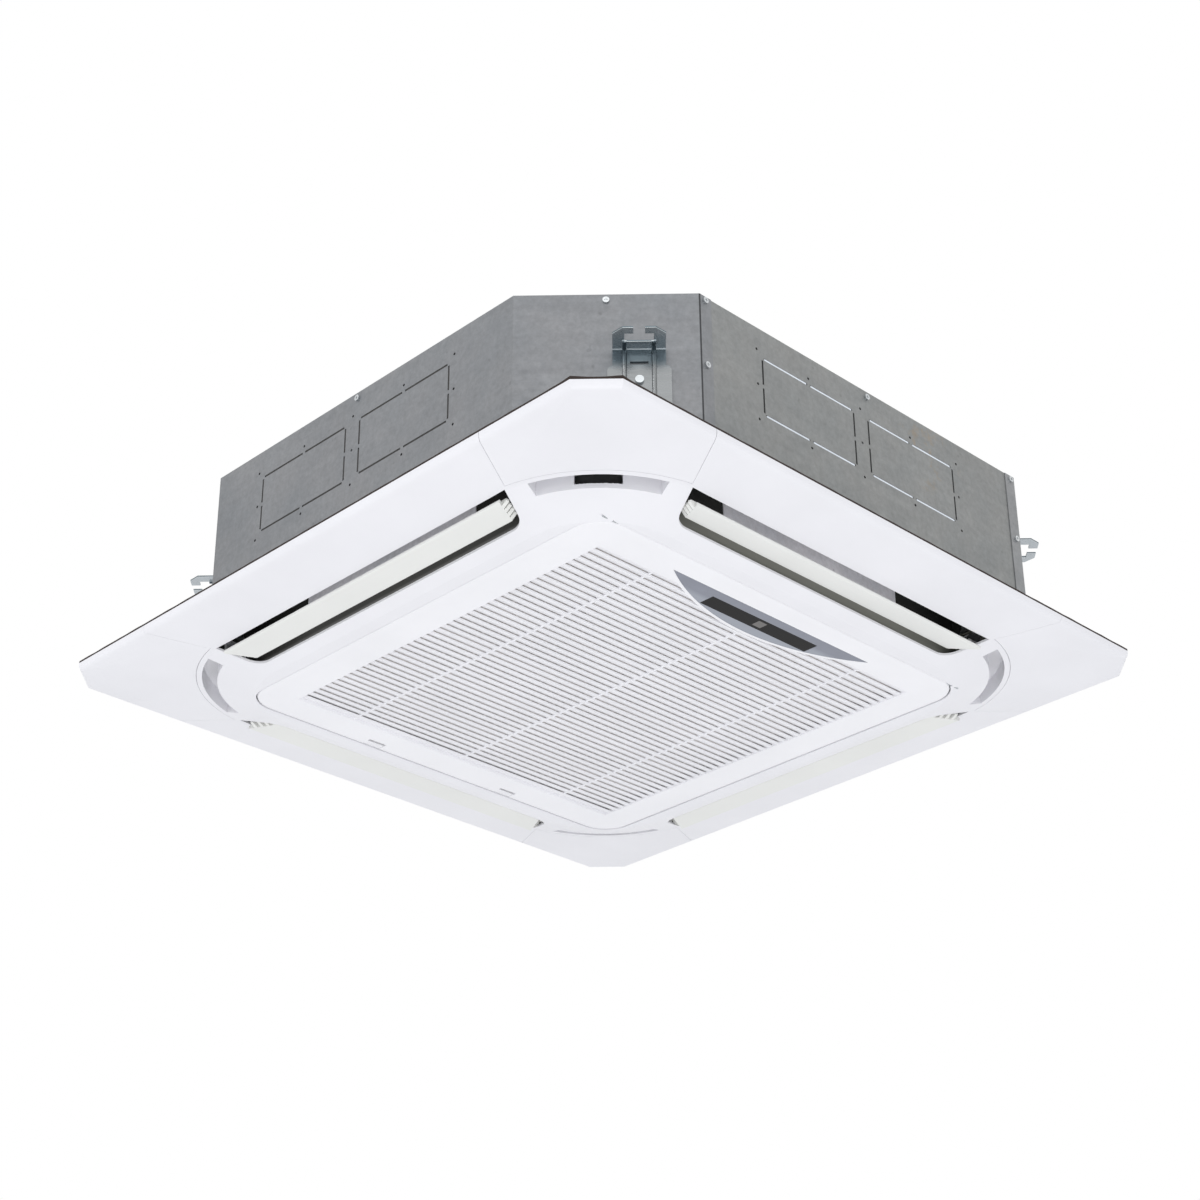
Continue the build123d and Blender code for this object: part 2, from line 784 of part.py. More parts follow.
# --- air filter -------------------------------------------------------------
filter_span = 2 * (filter_half - filter_frame_width)
with BuildPart() as filter_frame:
    with BuildSketch(Plane.XY.offset(door_rim_z)):
        Rectangle(2 * filter_half, 2 * filter_half)
        Rectangle(filter_span, filter_span, mode=Mode.SUBTRACT)
        with GridLocations(filter_span / (filter_bars + 1), 1, filter_bars, 1):
            Rectangle(filter_bar_width, filter_span)
        with GridLocations(1, filter_span / (filter_bars + 1), 1, filter_bars):
            Rectangle(filter_span, filter_bar_width)
    extrude(amount=filter_thickness)
    with BuildSketch(Plane.XY.offset(door_rim_z + filter_thickness / 2)):
        Rectangle(filter_span, filter_span)
    extrude(amount=filter_mesh_thickness, mode=Mode.SUBTRACT)
filter_frame.part.label = "filter_frame"
print("filter_frame", len(filter_frame.part.solids()))
export_step(filter_frame.part, "parts/filter_frame.step")

with BuildPart() as filter_mesh:
    with BuildSketch(Plane.XY.offset(door_rim_z + filter_thickness / 2)):
        Rectangle(filter_span, filter_span)
    extrude(amount=filter_mesh_thickness)
filter_mesh.part.label = "filter_mesh"
export_step(filter_mesh.part, "parts/filter_mesh.step")


# --- air vanes, bushings, swing motors, outlet liners -----------------------
vane_end_run = (vane_outer_half - vane_inner_half) / (vane_outer - vane_inner)


def vane(angle):
    """Front air vane, turned about its pivots; a positive angle opens it."""
    with BuildPart() as blade:
        with BuildSketch(Plane.XY.offset(vane_z)):
            Polygon((-vane_outer_half, -vane_outer), (vane_outer_half, -vane_outer),
                    (vane_inner_half, -vane_inner), (-vane_inner_half, -vane_inner), align=None)
        extrude(amount=vane_thickness)
        long_edges = blade.edges().filter_by(Axis.X)
        fillet(long_edges, radius=vane_edge_round)
        arm_x = vane_inner_half - vane_arm_inset
        for side in (-1, 1):
            with Locations((side * arm_x, -pivot_u, pivot_z)):
                Cylinder(vane_arm_radius, vane_arm_thickness, rotation=(0, 90, 0))
            with Locations((side * arm_x, -pivot_u, pivot_z)):
                Cylinder(pivot_radius, pivot_end - arm_x, rotation=(0, side * 90, 0),
                         align=(Align.CENTER, Align.CENTER, Align.MIN))
            # comb of teeth that carries the blade on past its slanted end, rising towards the tips
            for i in range(comb_count):
                tooth_u = comb_start - i * comb_pitch
                end_x = vane_inner_half + (tooth_u - vane_inner) * vane_end_run
                root_x = side * (end_x - comb_root)
                tip_x = side * (end_x + comb_reach)
                tip_bottom = vane_z + comb_rise
                tip_top = tip_bottom + comb_tip
                with BuildSketch(Plane.XZ.offset(tooth_u)):
                    Polygon((root_x, vane_z), (side * end_x, vane_z), (tip_x, tip_bottom),
                            (tip_x, tip_top), (root_x, tip_top), align=None)
                extrude(amount=comb_width / 2, both=True)
    return blade.part.rotate(Axis((0, -pivot_u, pivot_z), (1, 0, 0)), angle)


with BuildPart() as vane_front:
    add(vane(front_vane_angle))
vane_front.part.label = "vane_front"
print("vane", len(vane_front.part.solids()))
export_step(vane_front.part, "parts/vane_front.step")

with BuildPart() as vane_right:
    add(vane(0), rotation=(0, 0, 90))
vane_right.part.label = "vane_right"
export_step(vane_right.part, "parts/vane_right.step")

with BuildPart() as vane_back:
    add(vane(0), rotation=(0, 0, 180))
vane_back.part.label = "vane_back"
export_step(vane_back.part, "parts/vane_back.step")

with BuildPart() as vane_left:
    add(vane(0), rotation=(0, 0, 270))
vane_left.part.label = "vane_left"
export_step(vane_left.part, "parts/vane_left.step")

with BuildPart() as vane_bushings:
    for turn in quarter_turns:
        for side in (-1, 1):
            with Locations(Plane.XY.rotated((0, 0, turn))):
                with Locations((side * bearing_mid, -pivot_u, pivot_z)):
                    Cylinder(bushing_radius, bearing_length, rotation=(0, 90, 0))
                    Cylinder(pivot_radius + running_gap, bearing_length + overrun, rotation=(0, 90, 0),
                             mode=Mode.SUBTRACT)
vane_bushings.part.label = "vane_bushings"
export_step(vane_bushings.part, "parts/vane_bushings.step")

with BuildPart() as swing_motors:
    for turn in quarter_turns:
        with Locations(Plane.XY.rotated((0, 0, turn))):
            with Locations((bearing_end, -pivot_u, pivot_z + swing_motor_offset)):
                Cylinder(swing_motor_radius, swing_motor_length, rotation=(0, 90, 0),
                         align=(Align.CENTER, Align.CENTER, Align.MIN))
swing_motors.part.label = "swing_motors"
export_step(swing_motors.part, "parts/swing_motors.step")

liner_u0 = outlet_inner - liner_gap
liner_u1 = outlet_outer + liner_gap
liner_mid = (liner_u0 + liner_u1) / 2
liner_span = liner_u1 - liner_u0


def outlet_liner(turn):
    """Sleeve that lines one outlet between the fascia skin and the casing."""
    with BuildPart() as sleeve:
        with BuildSketch(Plane.XY):
            with Locations((0, -liner_mid)):
                Rectangle(2 * (bearing_end + liner_wall), liner_span + 2 * liner_wall)
                Rectangle(2 * bearing_end, liner_span, mode=Mode.SUBTRACT)
        extrude(amount=liner_top)
        with Locations((0, -pivot_u, 0)):
            Box(2 * bearing_end + 4 * swing_motor_length, 2 * (swing_motor_radius + liner_wall),
                pivot_z + swing_motor_offset + swing_motor_radius + liner_wall,
                align=(Align.CENTER, Align.CENTER, Align.MIN), mode=Mode.SUBTRACT)
        add(inner_space, mode=Mode.INTERSECT)
        # the sleeve stands clear of the ledges under the covers at its two ends
        add(cover_ledge.part, mode=Mode.SUBTRACT)
        add(cover_ledge.part, rotation=(0, 0, 90), mode=Mode.SUBTRACT)
    return sleeve.part.rotate(Axis.Z, turn)


with BuildPart() as outlet_liner_front:
    add(outlet_liner(0))
outlet_liner_front.part.label = "outlet_liner_front"
print("liner", len(outlet_liner_front.part.solids()))
export_step(outlet_liner_front.part, "parts/outlet_liner_front.step")

with BuildPart() as outlet_liner_right:
    add(outlet_liner(90))
outlet_liner_right.part.label = "outlet_liner_right"
export_step(outlet_liner_right.part, "parts/outlet_liner_right.step")

with BuildPart() as outlet_liner_back:
    add(outlet_liner(180))
outlet_liner_back.part.label = "outlet_liner_back"
export_step(outlet_liner_back.part, "parts/outlet_liner_back.step")

with BuildPart() as outlet_liner_left:
    add(outlet_liner(270))
outlet_liner_left.part.label = "outlet_liner_left"
export_step(outlet_liner_left.part, "parts/outlet_liner_left.step")

# --- casing -----------------------------------------------------------------
def casing_level(z):
    """Horizontal plane whose origin lies on the casing's own centre line."""
    return Plane((case_x, case_y, z))


with BuildPart() as foam_seal:
    with BuildSketch(casing_level(flange_top)):
        Polygon(*octagon(sheet), align=None)
    extrude(amount=seal_thickness)
    with BuildSketch(Plane.XY.offset(flange_top)):
        Rectangle(2 * flange_half, 2 * flange_half)
        Rectangle(2 * seal_inner, 2 * seal_inner, mode=Mode.SUBTRACT)
        for turn in quarter_turns:
            with Locations(Plane.XY.rotated((0, 0, turn))):
                with Locations((0, -(outlet_inner + outlet_outer) / 2)):
                    Rectangle(outlet_cut_length, outlet_cut_width, mode=Mode.SUBTRACT)
        with GridLocations(2 * panel_bolt_xy, 2 * panel_bolt_xy, 2, 2):
            Circle(panel_bolt_radius + panel_bolt_gap, mode=Mode.SUBTRACT)
    extrude(amount=seal_thickness, mode=Mode.INTERSECT)
foam_seal.part.label = "foam_seal"
print("foam_seal", len(foam_seal.part.solids()))
export_step(foam_seal.part, "parts/foam_seal.step")

with BuildPart() as panel_bolts:
    with Locations((0, 0, flange_bottom)):
        with GridLocations(2 * panel_bolt_xy, 2 * panel_bolt_xy, 2, 2):
            Cylinder(panel_bolt_head_radius, panel_bolt_head_height,
                     align=(Align.CENTER, Align.CENTER, Align.MAX))
            Cylinder(panel_bolt_radius, panel_bolt_length,
                     align=(Align.CENTER, Align.CENTER, Align.MIN))
panel_bolts.part.label = "panel_bolts"
export_step(panel_bolts.part, "parts/panel_bolts.step")

with BuildPart() as base_ring:
    with BuildSketch(casing_level(case_bottom)):
        Polygon(*octagon(sheet), align=None)
    extrude(amount=base_ring_thickness)
    with BuildSketch(Plane.XY.offset(case_bottom - overrun)):
        Rectangle(2 * base_ring_inner, 2 * base_ring_inner)
        Rectangle(base_web_sum * root2, base_web_sum * root2, rotation=45, mode=Mode.INTERSECT)
    extrude(amount=base_ring_thickness + 2 * overrun, mode=Mode.SUBTRACT)
    with Locations((0, 0, case_bottom)):
        with GridLocations(2 * panel_bolt_xy, 2 * panel_bolt_xy, 2, 2):
            Cylinder(panel_bolt_radius + running_gap, 4 * base_ring_thickness, mode=Mode.SUBTRACT)
base_ring.part.label = "base_ring"
export_step(base_ring.part, "parts/base_ring.step")


def wrap_plan(front_leg, back_leg):
    """Plan of the wrap on the -X side: chamfer, side and chamfer, ending in lap flanges."""
    h = case_half
    front_fold = -h + front_leg + sheet
    back_fold = -h + back_leg + sheet
    inner_bend = (root2 - 1) * sheet
    with BuildSketch(Plane.XY) as plan:
        with BuildLine():
            Polyline(
                (front_fold + overlap_flange, -h - sheet), (front_fold, -h - sheet),
                (-h, -h + front_leg), (-h, h - back_leg),
                (back_fold, h + sheet), (back_fold + overlap_flange, h + sheet),
                (back_fold + overlap_flange, h), (back_fold + inner_bend, h),
                (-h + sheet, h - back_leg - inner_bend), (-h + sheet, -h + front_leg + inner_bend),
                (front_fold + inner_bend, -h), (front_fold + overlap_flange, -h),
                close=True,
            )
        make_face()
    return plan.sketch


front_face = Plane((case_x, case_y - case_half, knockout_z), x_dir=(1, 0, 0), z_dir=(0, -1, 0))
left_face = Plane((case_x - case_half, case_y, knockout_z), x_dir=(0, -1, 0), z_dir=(-1, 0, 0))
knockout_pitch = knockout_length + knockout_gap


def knockout_cuts(face_plane, shift):
    """Cutters for a pair of knock-out panels: broken slits round each, pilot holes outside."""
    pilot_rows = knockout_height / 2 + pilot_offset
    pilot_outer = knockout_pitch / 2 + knockout_length / 2 + pilot_offset
    with BuildPart() as cuts:
        with BuildSketch(face_plane.offset(2 * sheet)):
            with Locations((shift, 0)):
                with GridLocations(knockout_pitch, 1, 2, 1):
                    Rectangle(knockout_length + slit_width, knockout_height + slit_width)
                with GridLocations(knockout_pitch, 1, 2, 1):
                    Rectangle(knockout_length - slit_width, knockout_height - slit_width,
                              mode=Mode.SUBTRACT)
                    Rectangle(bridge, 2 * knockout_height, mode=Mode.SUBTRACT)
                with GridLocations(knockout_pitch, 1, 2, 1):
                    Rectangle(knockout_length + 3 * slit_width, bridge, mode=Mode.SUBTRACT)
                    with GridLocations(knockout_length, knockout_height, 2, 2):
                        Rectangle(bridge, bridge, mode=Mode.SUBTRACT)
                with GridLocations(knockout_pitch, 2 * pilot_rows, 2, 2):
                    Circle(pilot_radius)
                with GridLocations(pilot_outer, pilot_rows, 3, 3):
                    Circle(pilot_radius)
        extrude(amount=-4 * sheet)
    return cuts.part


# screw places on the overlap flanges, in the casing's own frame
left_fold = -case_half + near_leg + sheet
right_fold = case_half - right_leg - sheet
back_left_fold = -case_half + left_leg + sheet
back_right_fold = case_half - far_leg - sheet


def screw_planes():
    """Planes on the outer sheet, facing outwards, one for each casing screw."""
    spots = []
    for row in range(screw_rows):
        z = screw_row_z - row * screw_pitch_z
        for x in (left_fold + screw_from_fold, right_fold - screw_from_fold):
            spots.append(Plane((case_x + x, case_y - case_half - sheet, z),
                               x_dir=(1, 0, 0), z_dir=(0, -1, 0)))
        for x in (back_left_fold + screw_from_fold, back_right_fold - screw_from_fold):
            spots.append(Plane((case_x + x, case_y + case_half + sheet, z),
                               x_dir=(-1, 0, 0), z_dir=(0, 1, 0)))
    outline = octagon(0)
    for i in range(8):
        ax, ay = outline[i]
        bx, by = outline[(i + 1) % 8]
        run = math.hypot(bx - ax, by - ay)
        out = ((by - ay) / run, -(bx - ax) / run, 0)
        along = ((bx - ax) / run, (by - ay) / run, 0)
        middle = (case_x + (ax + bx) / 2, case_y + (ay + by) / 2, edge_screw_z)
        spots.append(Plane(middle, x_dir=along, z_dir=out))
    return spots


casing_screw_planes = screw_planes()

with BuildPart() as casing_screws:
    for spot in casing_screw_planes:
        with Locations(spot):
            Cylinder(screw_head_radius, screw_head_height,
                     align=(Align.CENTER, Align.CENTER, Align.MIN))
            Cylinder(screw_radius, screw_length, align=(Align.CENTER, Align.CENTER, Align.MAX))
            with Locations((0, 0, screw_head_height)):
                Box(2 * screw_radius, screw_slot_width, 2 * screw_slot_depth, mode=Mode.SUBTRACT)
                Box(screw_slot_width, 2 * screw_radius, 2 * screw_slot_depth, mode=Mode.SUBTRACT)
casing_screws.part.label = "casing_screws"
print("casing_screws", len(casing_screws.part.solids()))
export_step(casing_screws.part, "parts/casing_screws.step")

with BuildPart() as screw_holes:
    for spot in casing_screw_planes:
        with Locations(spot):
            Cylinder(screw_radius + running_gap, 4 * screw_length)

with BuildPart() as screw_pockets:
    for spot in casing_screw_planes:
        with Locations(spot):
            Cylinder(screw_radius + screw_pocket, 2 * (screw_length + screw_pocket))


# --- hangers: one bracket on each chamfer ------------------------------------
def hanger_place(side_x, side_y):
    """Plane at the foot of a hanger, x along the chamfer, z outwards, and the bolt's distance."""
    bolt_x = side_x * hanger_pitch_x / 2
    bolt_y = side_y * hanger_pitch_y / 2
    legs = {(-1, -1): near_leg, (-1, 1): left_leg, (1, -1): right_leg, (1, 1): far_leg}
    plane_distance = (2 * case_half - legs[(side_x, side_y)]) / root2
    distance = (abs(bolt_x) + abs(bolt_y)) / root2 - plane_distance
    foot_x = case_x + bolt_x - side_x * distance / root2
    foot_y = case_y + bolt_y - side_y * distance / root2
    out = (side_x / root2, side_y / root2, 0)
    along = (-side_y / root2, side_x / root2, 0)
    return Plane((foot_x, foot_y, 0), x_dir=along, z_dir=out), distance


def hanger(side_x, side_y):
    """Bracket: foot plate against the chamfer, arm with an open slot for the hanging bolt."""
    foot, bolt_distance = hanger_place(side_x, side_y)
    reach = bolt_distance + hanger_slot_width / 2 + hanger_slot_margin
    arm = Plane((foot.origin.X, foot.origin.Y, hanger_fold_z), x_dir=foot.x_dir, z_dir=(0, 0, 1))
    with BuildPart() as bracket:
        with BuildSketch(foot):
            with Locations((0, (hanger_foot_z + hanger_step_z) / 2)):
                RectangleRounded(hanger_base_width, hanger_step_z - hanger_foot_z, hanger_foot_radius)
            with Locations((0, (hanger_foot_z + hanger_fold_z) / 2 + hanger_foot_radius)):
                Rectangle(hanger_arm_width, hanger_fold_z - hanger_foot_z - 2 * hanger_foot_radius)
        extrude(amount=hanger_sheet)
        # arm, with cut corners and the slot open at its tip
        with BuildSketch(arm):
            with Locations((0, -reach / 2)):
                Rectangle(hanger_arm_width, reach)
        extrude(amount=-hanger_sheet)
        tip_edges = bracket.edges().filter_by(Axis.Z).sort_by(
            lambda e: foot.to_local_coords(e.center()).Z)[-2:]
        chamfer(tip_edges, length=hanger_corner_cut)
        with BuildSketch(arm.offset(overrun)):
            with Locations((0, -bolt_distance)):
                Rectangle(hanger_slot_length, hanger_slot_width)
            with Locations((0, -(bolt_distance + reach) / 2 - overrun)):
                Rectangle(hanger_entry_width, reach - bolt_distance + 2 * overrun)
        extrude(amount=-hanger_sheet - 2 * overrun, mode=Mode.SUBTRACT)
        # pressed beads that run down the foot plate and out along the arm
        bead_top = hanger_fold_z - hanger_sheet
        bead_length = bead_top - hanger_foot_z - hanger_foot_radius
        bead_out = bolt_distance - hanger_slot_width / 2
        for side in (-1, 1):
            bead_foot = foot.from_local_coords((side * hanger_bead_spacing / 2, bead_top, hanger_sheet))
            with BuildSketch(Plane(bead_foot, x_dir=foot.x_dir, z_dir=(0, 0, -1))):
                Circle(hanger_bead_radius)
                with Locations((0, -hanger_bead_radius)):
                    Rectangle(2 * hanger_bead_radius, 2 * hanger_bead_radius, mode=Mode.SUBTRACT)
            extrude(amount=bead_length)
            with BuildSketch(Plane(bead_foot, x_dir=foot.x_dir, z_dir=foot.z_dir)):
                Circle(hanger_bead_radius)
                with Locations((0, hanger_bead_radius)):
                    Rectangle(2 * hanger_bead_radius, 2 * hanger_bead_radius, mode=Mode.SUBTRACT)
            extrude(amount=bead_out)
        # pressed bridge above its slot, and the screw hole
        with Locations(Plane(foot.from_local_coords((0, hanger_bridge_z, hanger_sheet)),
                             x_dir=foot.x_dir, z_dir=foot.z_dir)):
            Box(hanger_lance_length, hanger_bridge_height, hanger_bridge_rise,
                align=(Align.CENTER, Align.CENTER, Align.MIN))
        with BuildSketch(foot):
            with Locations((0, hanger_lance_z)):
                Rectangle(hanger_lance_length, hanger_lance_height)
            with Locations((0, hanger_screw_z)):
                Circle(screw_radius + running_gap)
        extrude(amount=hanger_sheet, mode=Mode.SUBTRACT)
    return bracket.part


hanger_corners = [(-1, -1), (1, -1), (-1, 1), (1, 1)]

with BuildPart() as hanger_near:
    add(hanger(-1, -1))
hanger_near.part.label = "hanger_near"
print("hanger", len(hanger_near.part.solids()), hanger_near.part.bounding_box())
export_step(hanger_near.part, "parts/hanger_near.step")

with BuildPart() as hanger_right:
    add(hanger(1, -1))
hanger_right.part.label = "hanger_right"
export_step(hanger_right.part, "parts/hanger_right.step")

with BuildPart() as hanger_left:
    add(hanger(-1, 1))
hanger_left.part.label = "hanger_left"
export_step(hanger_left.part, "parts/hanger_left.step")

with BuildPart() as hanger_far:
    add(hanger(1, 1))
hanger_far.part.label = "hanger_far"
export_step(hanger_far.part, "parts/hanger_far.step")

hanger_screw_planes = []
for side_x, side_y in hanger_corners:
    foot, bolt_distance = hanger_place(side_x, side_y)
    hanger_screw_planes.append(Plane(foot.from_local_coords((0, hanger_screw_z, hanger_sheet)),
                                     x_dir=foot.x_dir, z_dir=foot.z_dir))

with BuildPart() as hanger_screws:
    for spot in hanger_screw_planes:
        with Locations(spot):
            Cylinder(hanger_screw_head_radius, hanger_screw_head_height,
                     align=(Align.CENTER, Align.CENTER, Align.MIN))
            Cylinder(screw_radius, screw_length + hanger_sheet,
                     align=(Align.CENTER, Align.CENTER, Align.MAX))
hanger_screws.part.label = "hanger_screws"
export_step(hanger_screws.part, "parts/hanger_screws.step")

with BuildPart() as hanger_holes:
    for spot in hanger_screw_planes:
        with Locations(spot):
            Cylinder(screw_radius + running_gap, 4 * screw_length)

with BuildPart() as hanger_pockets:
    for spot in hanger_screw_planes:
        with Locations(spot):
            Cylinder(screw_radius + screw_pocket, 2 * (screw_length + hanger_sheet + screw_pocket))

# --- casing sheets ----------------------------------------------------------
with BuildPart() as case_wrap_left:
    with BuildSketch(casing_level(case_bottom)):
        add(wrap_plan(near_leg, left_leg))
    extrude(amount=case_height)
    add(knockout_cuts(left_face, 0), mode=Mode.SUBTRACT)
    add(screw_holes.part, mode=Mode.SUBTRACT)
    add(hanger_holes.part, mode=Mode.SUBTRACT)
case_wrap_left.part.label = "case_wrap_left"
print("case_wrap_left", len(case_wrap_left.part.solids()))
export_step(case_wrap_left.part, "parts/case_wrap_left.step")

pipe_wall_x = case_x + case_half
drain_point = (pipe_wall_x, drain_y, drain_z)
gas_point = (pipe_wall_x, gas_y, pipe_z)
liquid_point = (pipe_wall_x, liquid_y, pipe_z)
port_sizes = [(drain_point, drain_radius), (gas_point, gas_radius), (liquid_point, liquid_radius)]


def port_holes(gap):
    """Cutters along X for the drain and the two pipes."""
    with BuildPart() as holes:
        for point, radius in port_sizes:
            with Locations(point):
                Cylinder(radius + gap, 4 * liner_thickness, rotation=(0, 90, 0))
    return holes.part


with BuildPart() as case_wrap_right:
    with BuildSketch(casing_level(case_bottom)):
        mirror(wrap_plan(right_leg, far_leg), about=Plane.YZ)
    extrude(amount=case_height)
    add(port_holes(wall_hole_gap), mode=Mode.SUBTRACT)
    add(screw_holes.part, mode=Mode.SUBTRACT)
    add(hanger_holes.part, mode=Mode.SUBTRACT)
case_wrap_right.part.label = "case_wrap_right"
print("case_wrap_right", len(case_wrap_right.part.solids()), case_wrap_right.part.bounding_box())
export_step(case_wrap_right.part, "parts/case_wrap_right.step")

flat_start = root2 * sheet + running_gap


def flat_sheet(y_side, from_x, to_x):
    """Flat front or back sheet between the folds of the two wraps."""
    with BuildPart() as flat:
        with BuildSketch(casing_level(case_bottom)):
            with Locations(((from_x + to_x) / 2, y_side * (case_half - sheet / 2))):
                Rectangle(to_x - from_x, sheet)
        extrude(amount=case_height)
        add(screw_holes.part, mode=Mode.SUBTRACT)
    return flat.part


with BuildPart() as case_front:
    add(flat_sheet(-1, -case_half + near_leg + flat_start, case_half - right_leg - flat_start))
    add(knockout_cuts(front_face, knockout_front_shift), mode=Mode.SUBTRACT)
case_front.part.label = "case_front"
print("case_front", len(case_front.part.solids()))
export_step(case_front.part, "parts/case_front.step")

with BuildPart() as case_back:
    add(flat_sheet(1, -case_half + left_leg + flat_start, case_half - far_leg - flat_start))
case_back.part.label = "case_back"
export_step(case_back.part, "parts/case_back.step")

with BuildPart() as top_plate:
    with BuildSketch(casing_level(case_top - sheet)):
        Polygon(*octagon(sheet), align=None)
    extrude(amount=sheet)
    with BuildSketch(casing_level(case_top - top_rim_height)):
        Polygon(*octagon(sheet), align=None)
        Polygon(*octagon(2 * sheet), align=None, mode=Mode.SUBTRACT)
    extrude(amount=top_rim_height)
    add(screw_holes.part, mode=Mode.SUBTRACT)
top_plate.part.label = "top_plate"
print("top_plate", len(top_plate.part.solids()))
export_step(top_plate.part, "parts/top_plate.step")

# --- insulation, drain pan --------------------------------------------------
with BuildPart() as insulation_liner:
    with BuildSketch(casing_level(pan_top)):
        Polygon(*octagon(2 * sheet), align=None)
    extrude(amount=case_top - sheet - pan_top)
    with BuildSketch(casing_level(pan_top)):
        Polygon(*octagon(2 * sheet + liner_thickness), align=None)
    extrude(amount=inner_floor - pan_top, mode=Mode.SUBTRACT)
    with Locations((0, 0, case_top)):
        Cylinder(motor_flange_radius + wall_hole_gap, 4 * liner_thickness, mode=Mode.SUBTRACT)
    add(port_holes(wall_hole_gap), mode=Mode.SUBTRACT)
    add(screw_pockets.part, mode=Mode.SUBTRACT)
    add(hanger_pockets.part, mode=Mode.SUBTRACT)
insulation_liner.part.label = "insulation_liner"
print("insulation_liner", len(insulation_liner.part.solids()))
export_step(insulation_liner.part, "parts/insulation_liner.step")

pan_outlet_inner = outlet_inner - pan_outlet_margin
pan_outlet_outer = outlet_outer + pan_outlet_margin

with BuildPart() as drain_pan:
    with BuildSketch(casing_level(pan_bottom)):
        Polygon(*octagon(sheet), align=None)
    extrude(amount=pan_top - pan_bottom)
    # collecting trough
    with BuildSketch(Plane.XY.offset(trough_floor)):
        RectangleRounded(2 * trough_outer, 2 * trough_outer, liner_thickness)
        Circle(trough_inner, mode=Mode.SUBTRACT)
    extrude(amount=pan_top, mode=Mode.SUBTRACT)
    # mouth and the seat of the inlet ring
    with Locations((0, 0, pan_bottom)):
        Cylinder(pan_mouth_radius, 2 * pan_top, mode=Mode.SUBTRACT)
        Cylinder(inlet_flange_radius, 2 * inlet_wall, mode=Mode.SUBTRACT)
    # air outlets
    for turn in quarter_turns:
        with Locations(Plane.XY.rotated((0, 0, turn))):
            with Locations((0, -(pan_outlet_inner + pan_outlet_outer) / 2, pan_bottom)):
                Box(2 * (bearing_end - liner_wall), pan_outlet_outer - pan_outlet_inner, 2 * pan_top,
                    mode=Mode.SUBTRACT)
    # pockets for the ends of the fascia bolts and screws
    with Locations((0, 0, pan_bottom)):
        with GridLocations(2 * panel_bolt_xy, 2 * panel_bolt_xy, 2, 2):
            Cylinder(panel_bolt_radius + screw_pocket, 2 * panel_bolt_length, mode=Mode.SUBTRACT)
    add(screw_pockets.part, mode=Mode.SUBTRACT)
drain_pan.part.label = "drain_pan"
print("drain_pan", len(drain_pan.part.solids()))
export_step(drain_pan.part, "parts/drain_pan.step")

with BuildPart() as duct_plates:
    for turn in quarter_turns:
        with Locations(Plane.XY.rotated((0, 0, turn))):
            with Locations((0, -pan_outlet_inner - duct_plate / 2, (pan_bottom + pan_top) / 2)):
                Box(2 * duct_plate_half, duct_plate, pan_top - pan_bottom)
duct_plates.part.label = "duct_plates"
export_step(duct_plates.part, "parts/duct_plates.step")

# --- inlet ring ---------------------------------------------------------------
bell_radius = inlet_mouth_radius - inlet_throat_radius
bell_z = inlet_flange_z + bell_radius
bell_top = inlet_flange_z + inlet_wall
seat_radius = inlet_flange_radius - inlet_seat_gap
throat_outer = inlet_throat_radius + inlet_wall
with BuildPart() as inlet_ring:
    with BuildSketch(Plane.XZ):
        with BuildLine():
            Line((seat_radius, inlet_flange_z), (inlet_mouth_radius, inlet_flange_z))
            RadiusArc((inlet_mouth_radius, inlet_flange_z), (inlet_throat_radius, bell_z), bell_radius)
            Polyline((inlet_throat_radius, bell_z), (inlet_throat_radius, inlet_top),
                     (throat_outer, inlet_top), (throat_outer, bell_z))
            RadiusArc((throat_outer, bell_z), (inlet_mouth_radius, bell_top), inlet_wall - bell_radius)
            Polyline((inlet_mouth_radius, bell_top), (seat_radius, bell_top),
                     (seat_radius, inlet_flange_z))
        make_face()
    revolve(axis=Axis.Z)
inlet_ring.part.label = "inlet_ring"
print("inlet_ring", inlet_ring.part.bounding_box())
export_step(inlet_ring.part, "parts/inlet_ring.step")

# --- heat exchanger -----------------------------------------------------------
coil_height = inner_floor - trough_floor
coil_end = coil_outer - coil_gap
coil_middle = (coil_outer + coil_inner) / 2
with BuildPart() as coil:
    with BuildSketch(Plane.XY.offset(trough_floor)):
        RectangleRounded(2 * coil_outer, 2 * coil_outer, coil_corner_radius)
        RectangleRounded(2 * coil_inner, 2 * coil_inner, coil_corner_radius - (coil_outer - coil_inner),
                         mode=Mode.SUBTRACT)
        with Locations((coil_end, coil_end)):
            Rectangle(2 * coil_gap, 2 * coil_gap, align=(Align.MIN, Align.MIN), mode=Mode.SUBTRACT)
    extrude(amount=coil_height)
coil.part.label = "coil"
print("coil", len(coil.part.solids()))
export_step(coil.part, "parts/coil.step")

with BuildPart() as coil_end_plates:
    with BuildSketch(Plane.XY.offset(trough_floor)):
        with Locations((coil_end + coil_plate / 2, coil_middle)):
            Rectangle(coil_plate, coil_outer - coil_inner)
        with Locations((coil_middle, coil_end + coil_plate / 2)):
            Rectangle(coil_outer - coil_inner, coil_plate)
    extrude(amount=coil_height)
coil_end_plates.part.label = "coil_end_plates"
export_step(coil_end_plates.part, "parts/coil_end_plates.step")

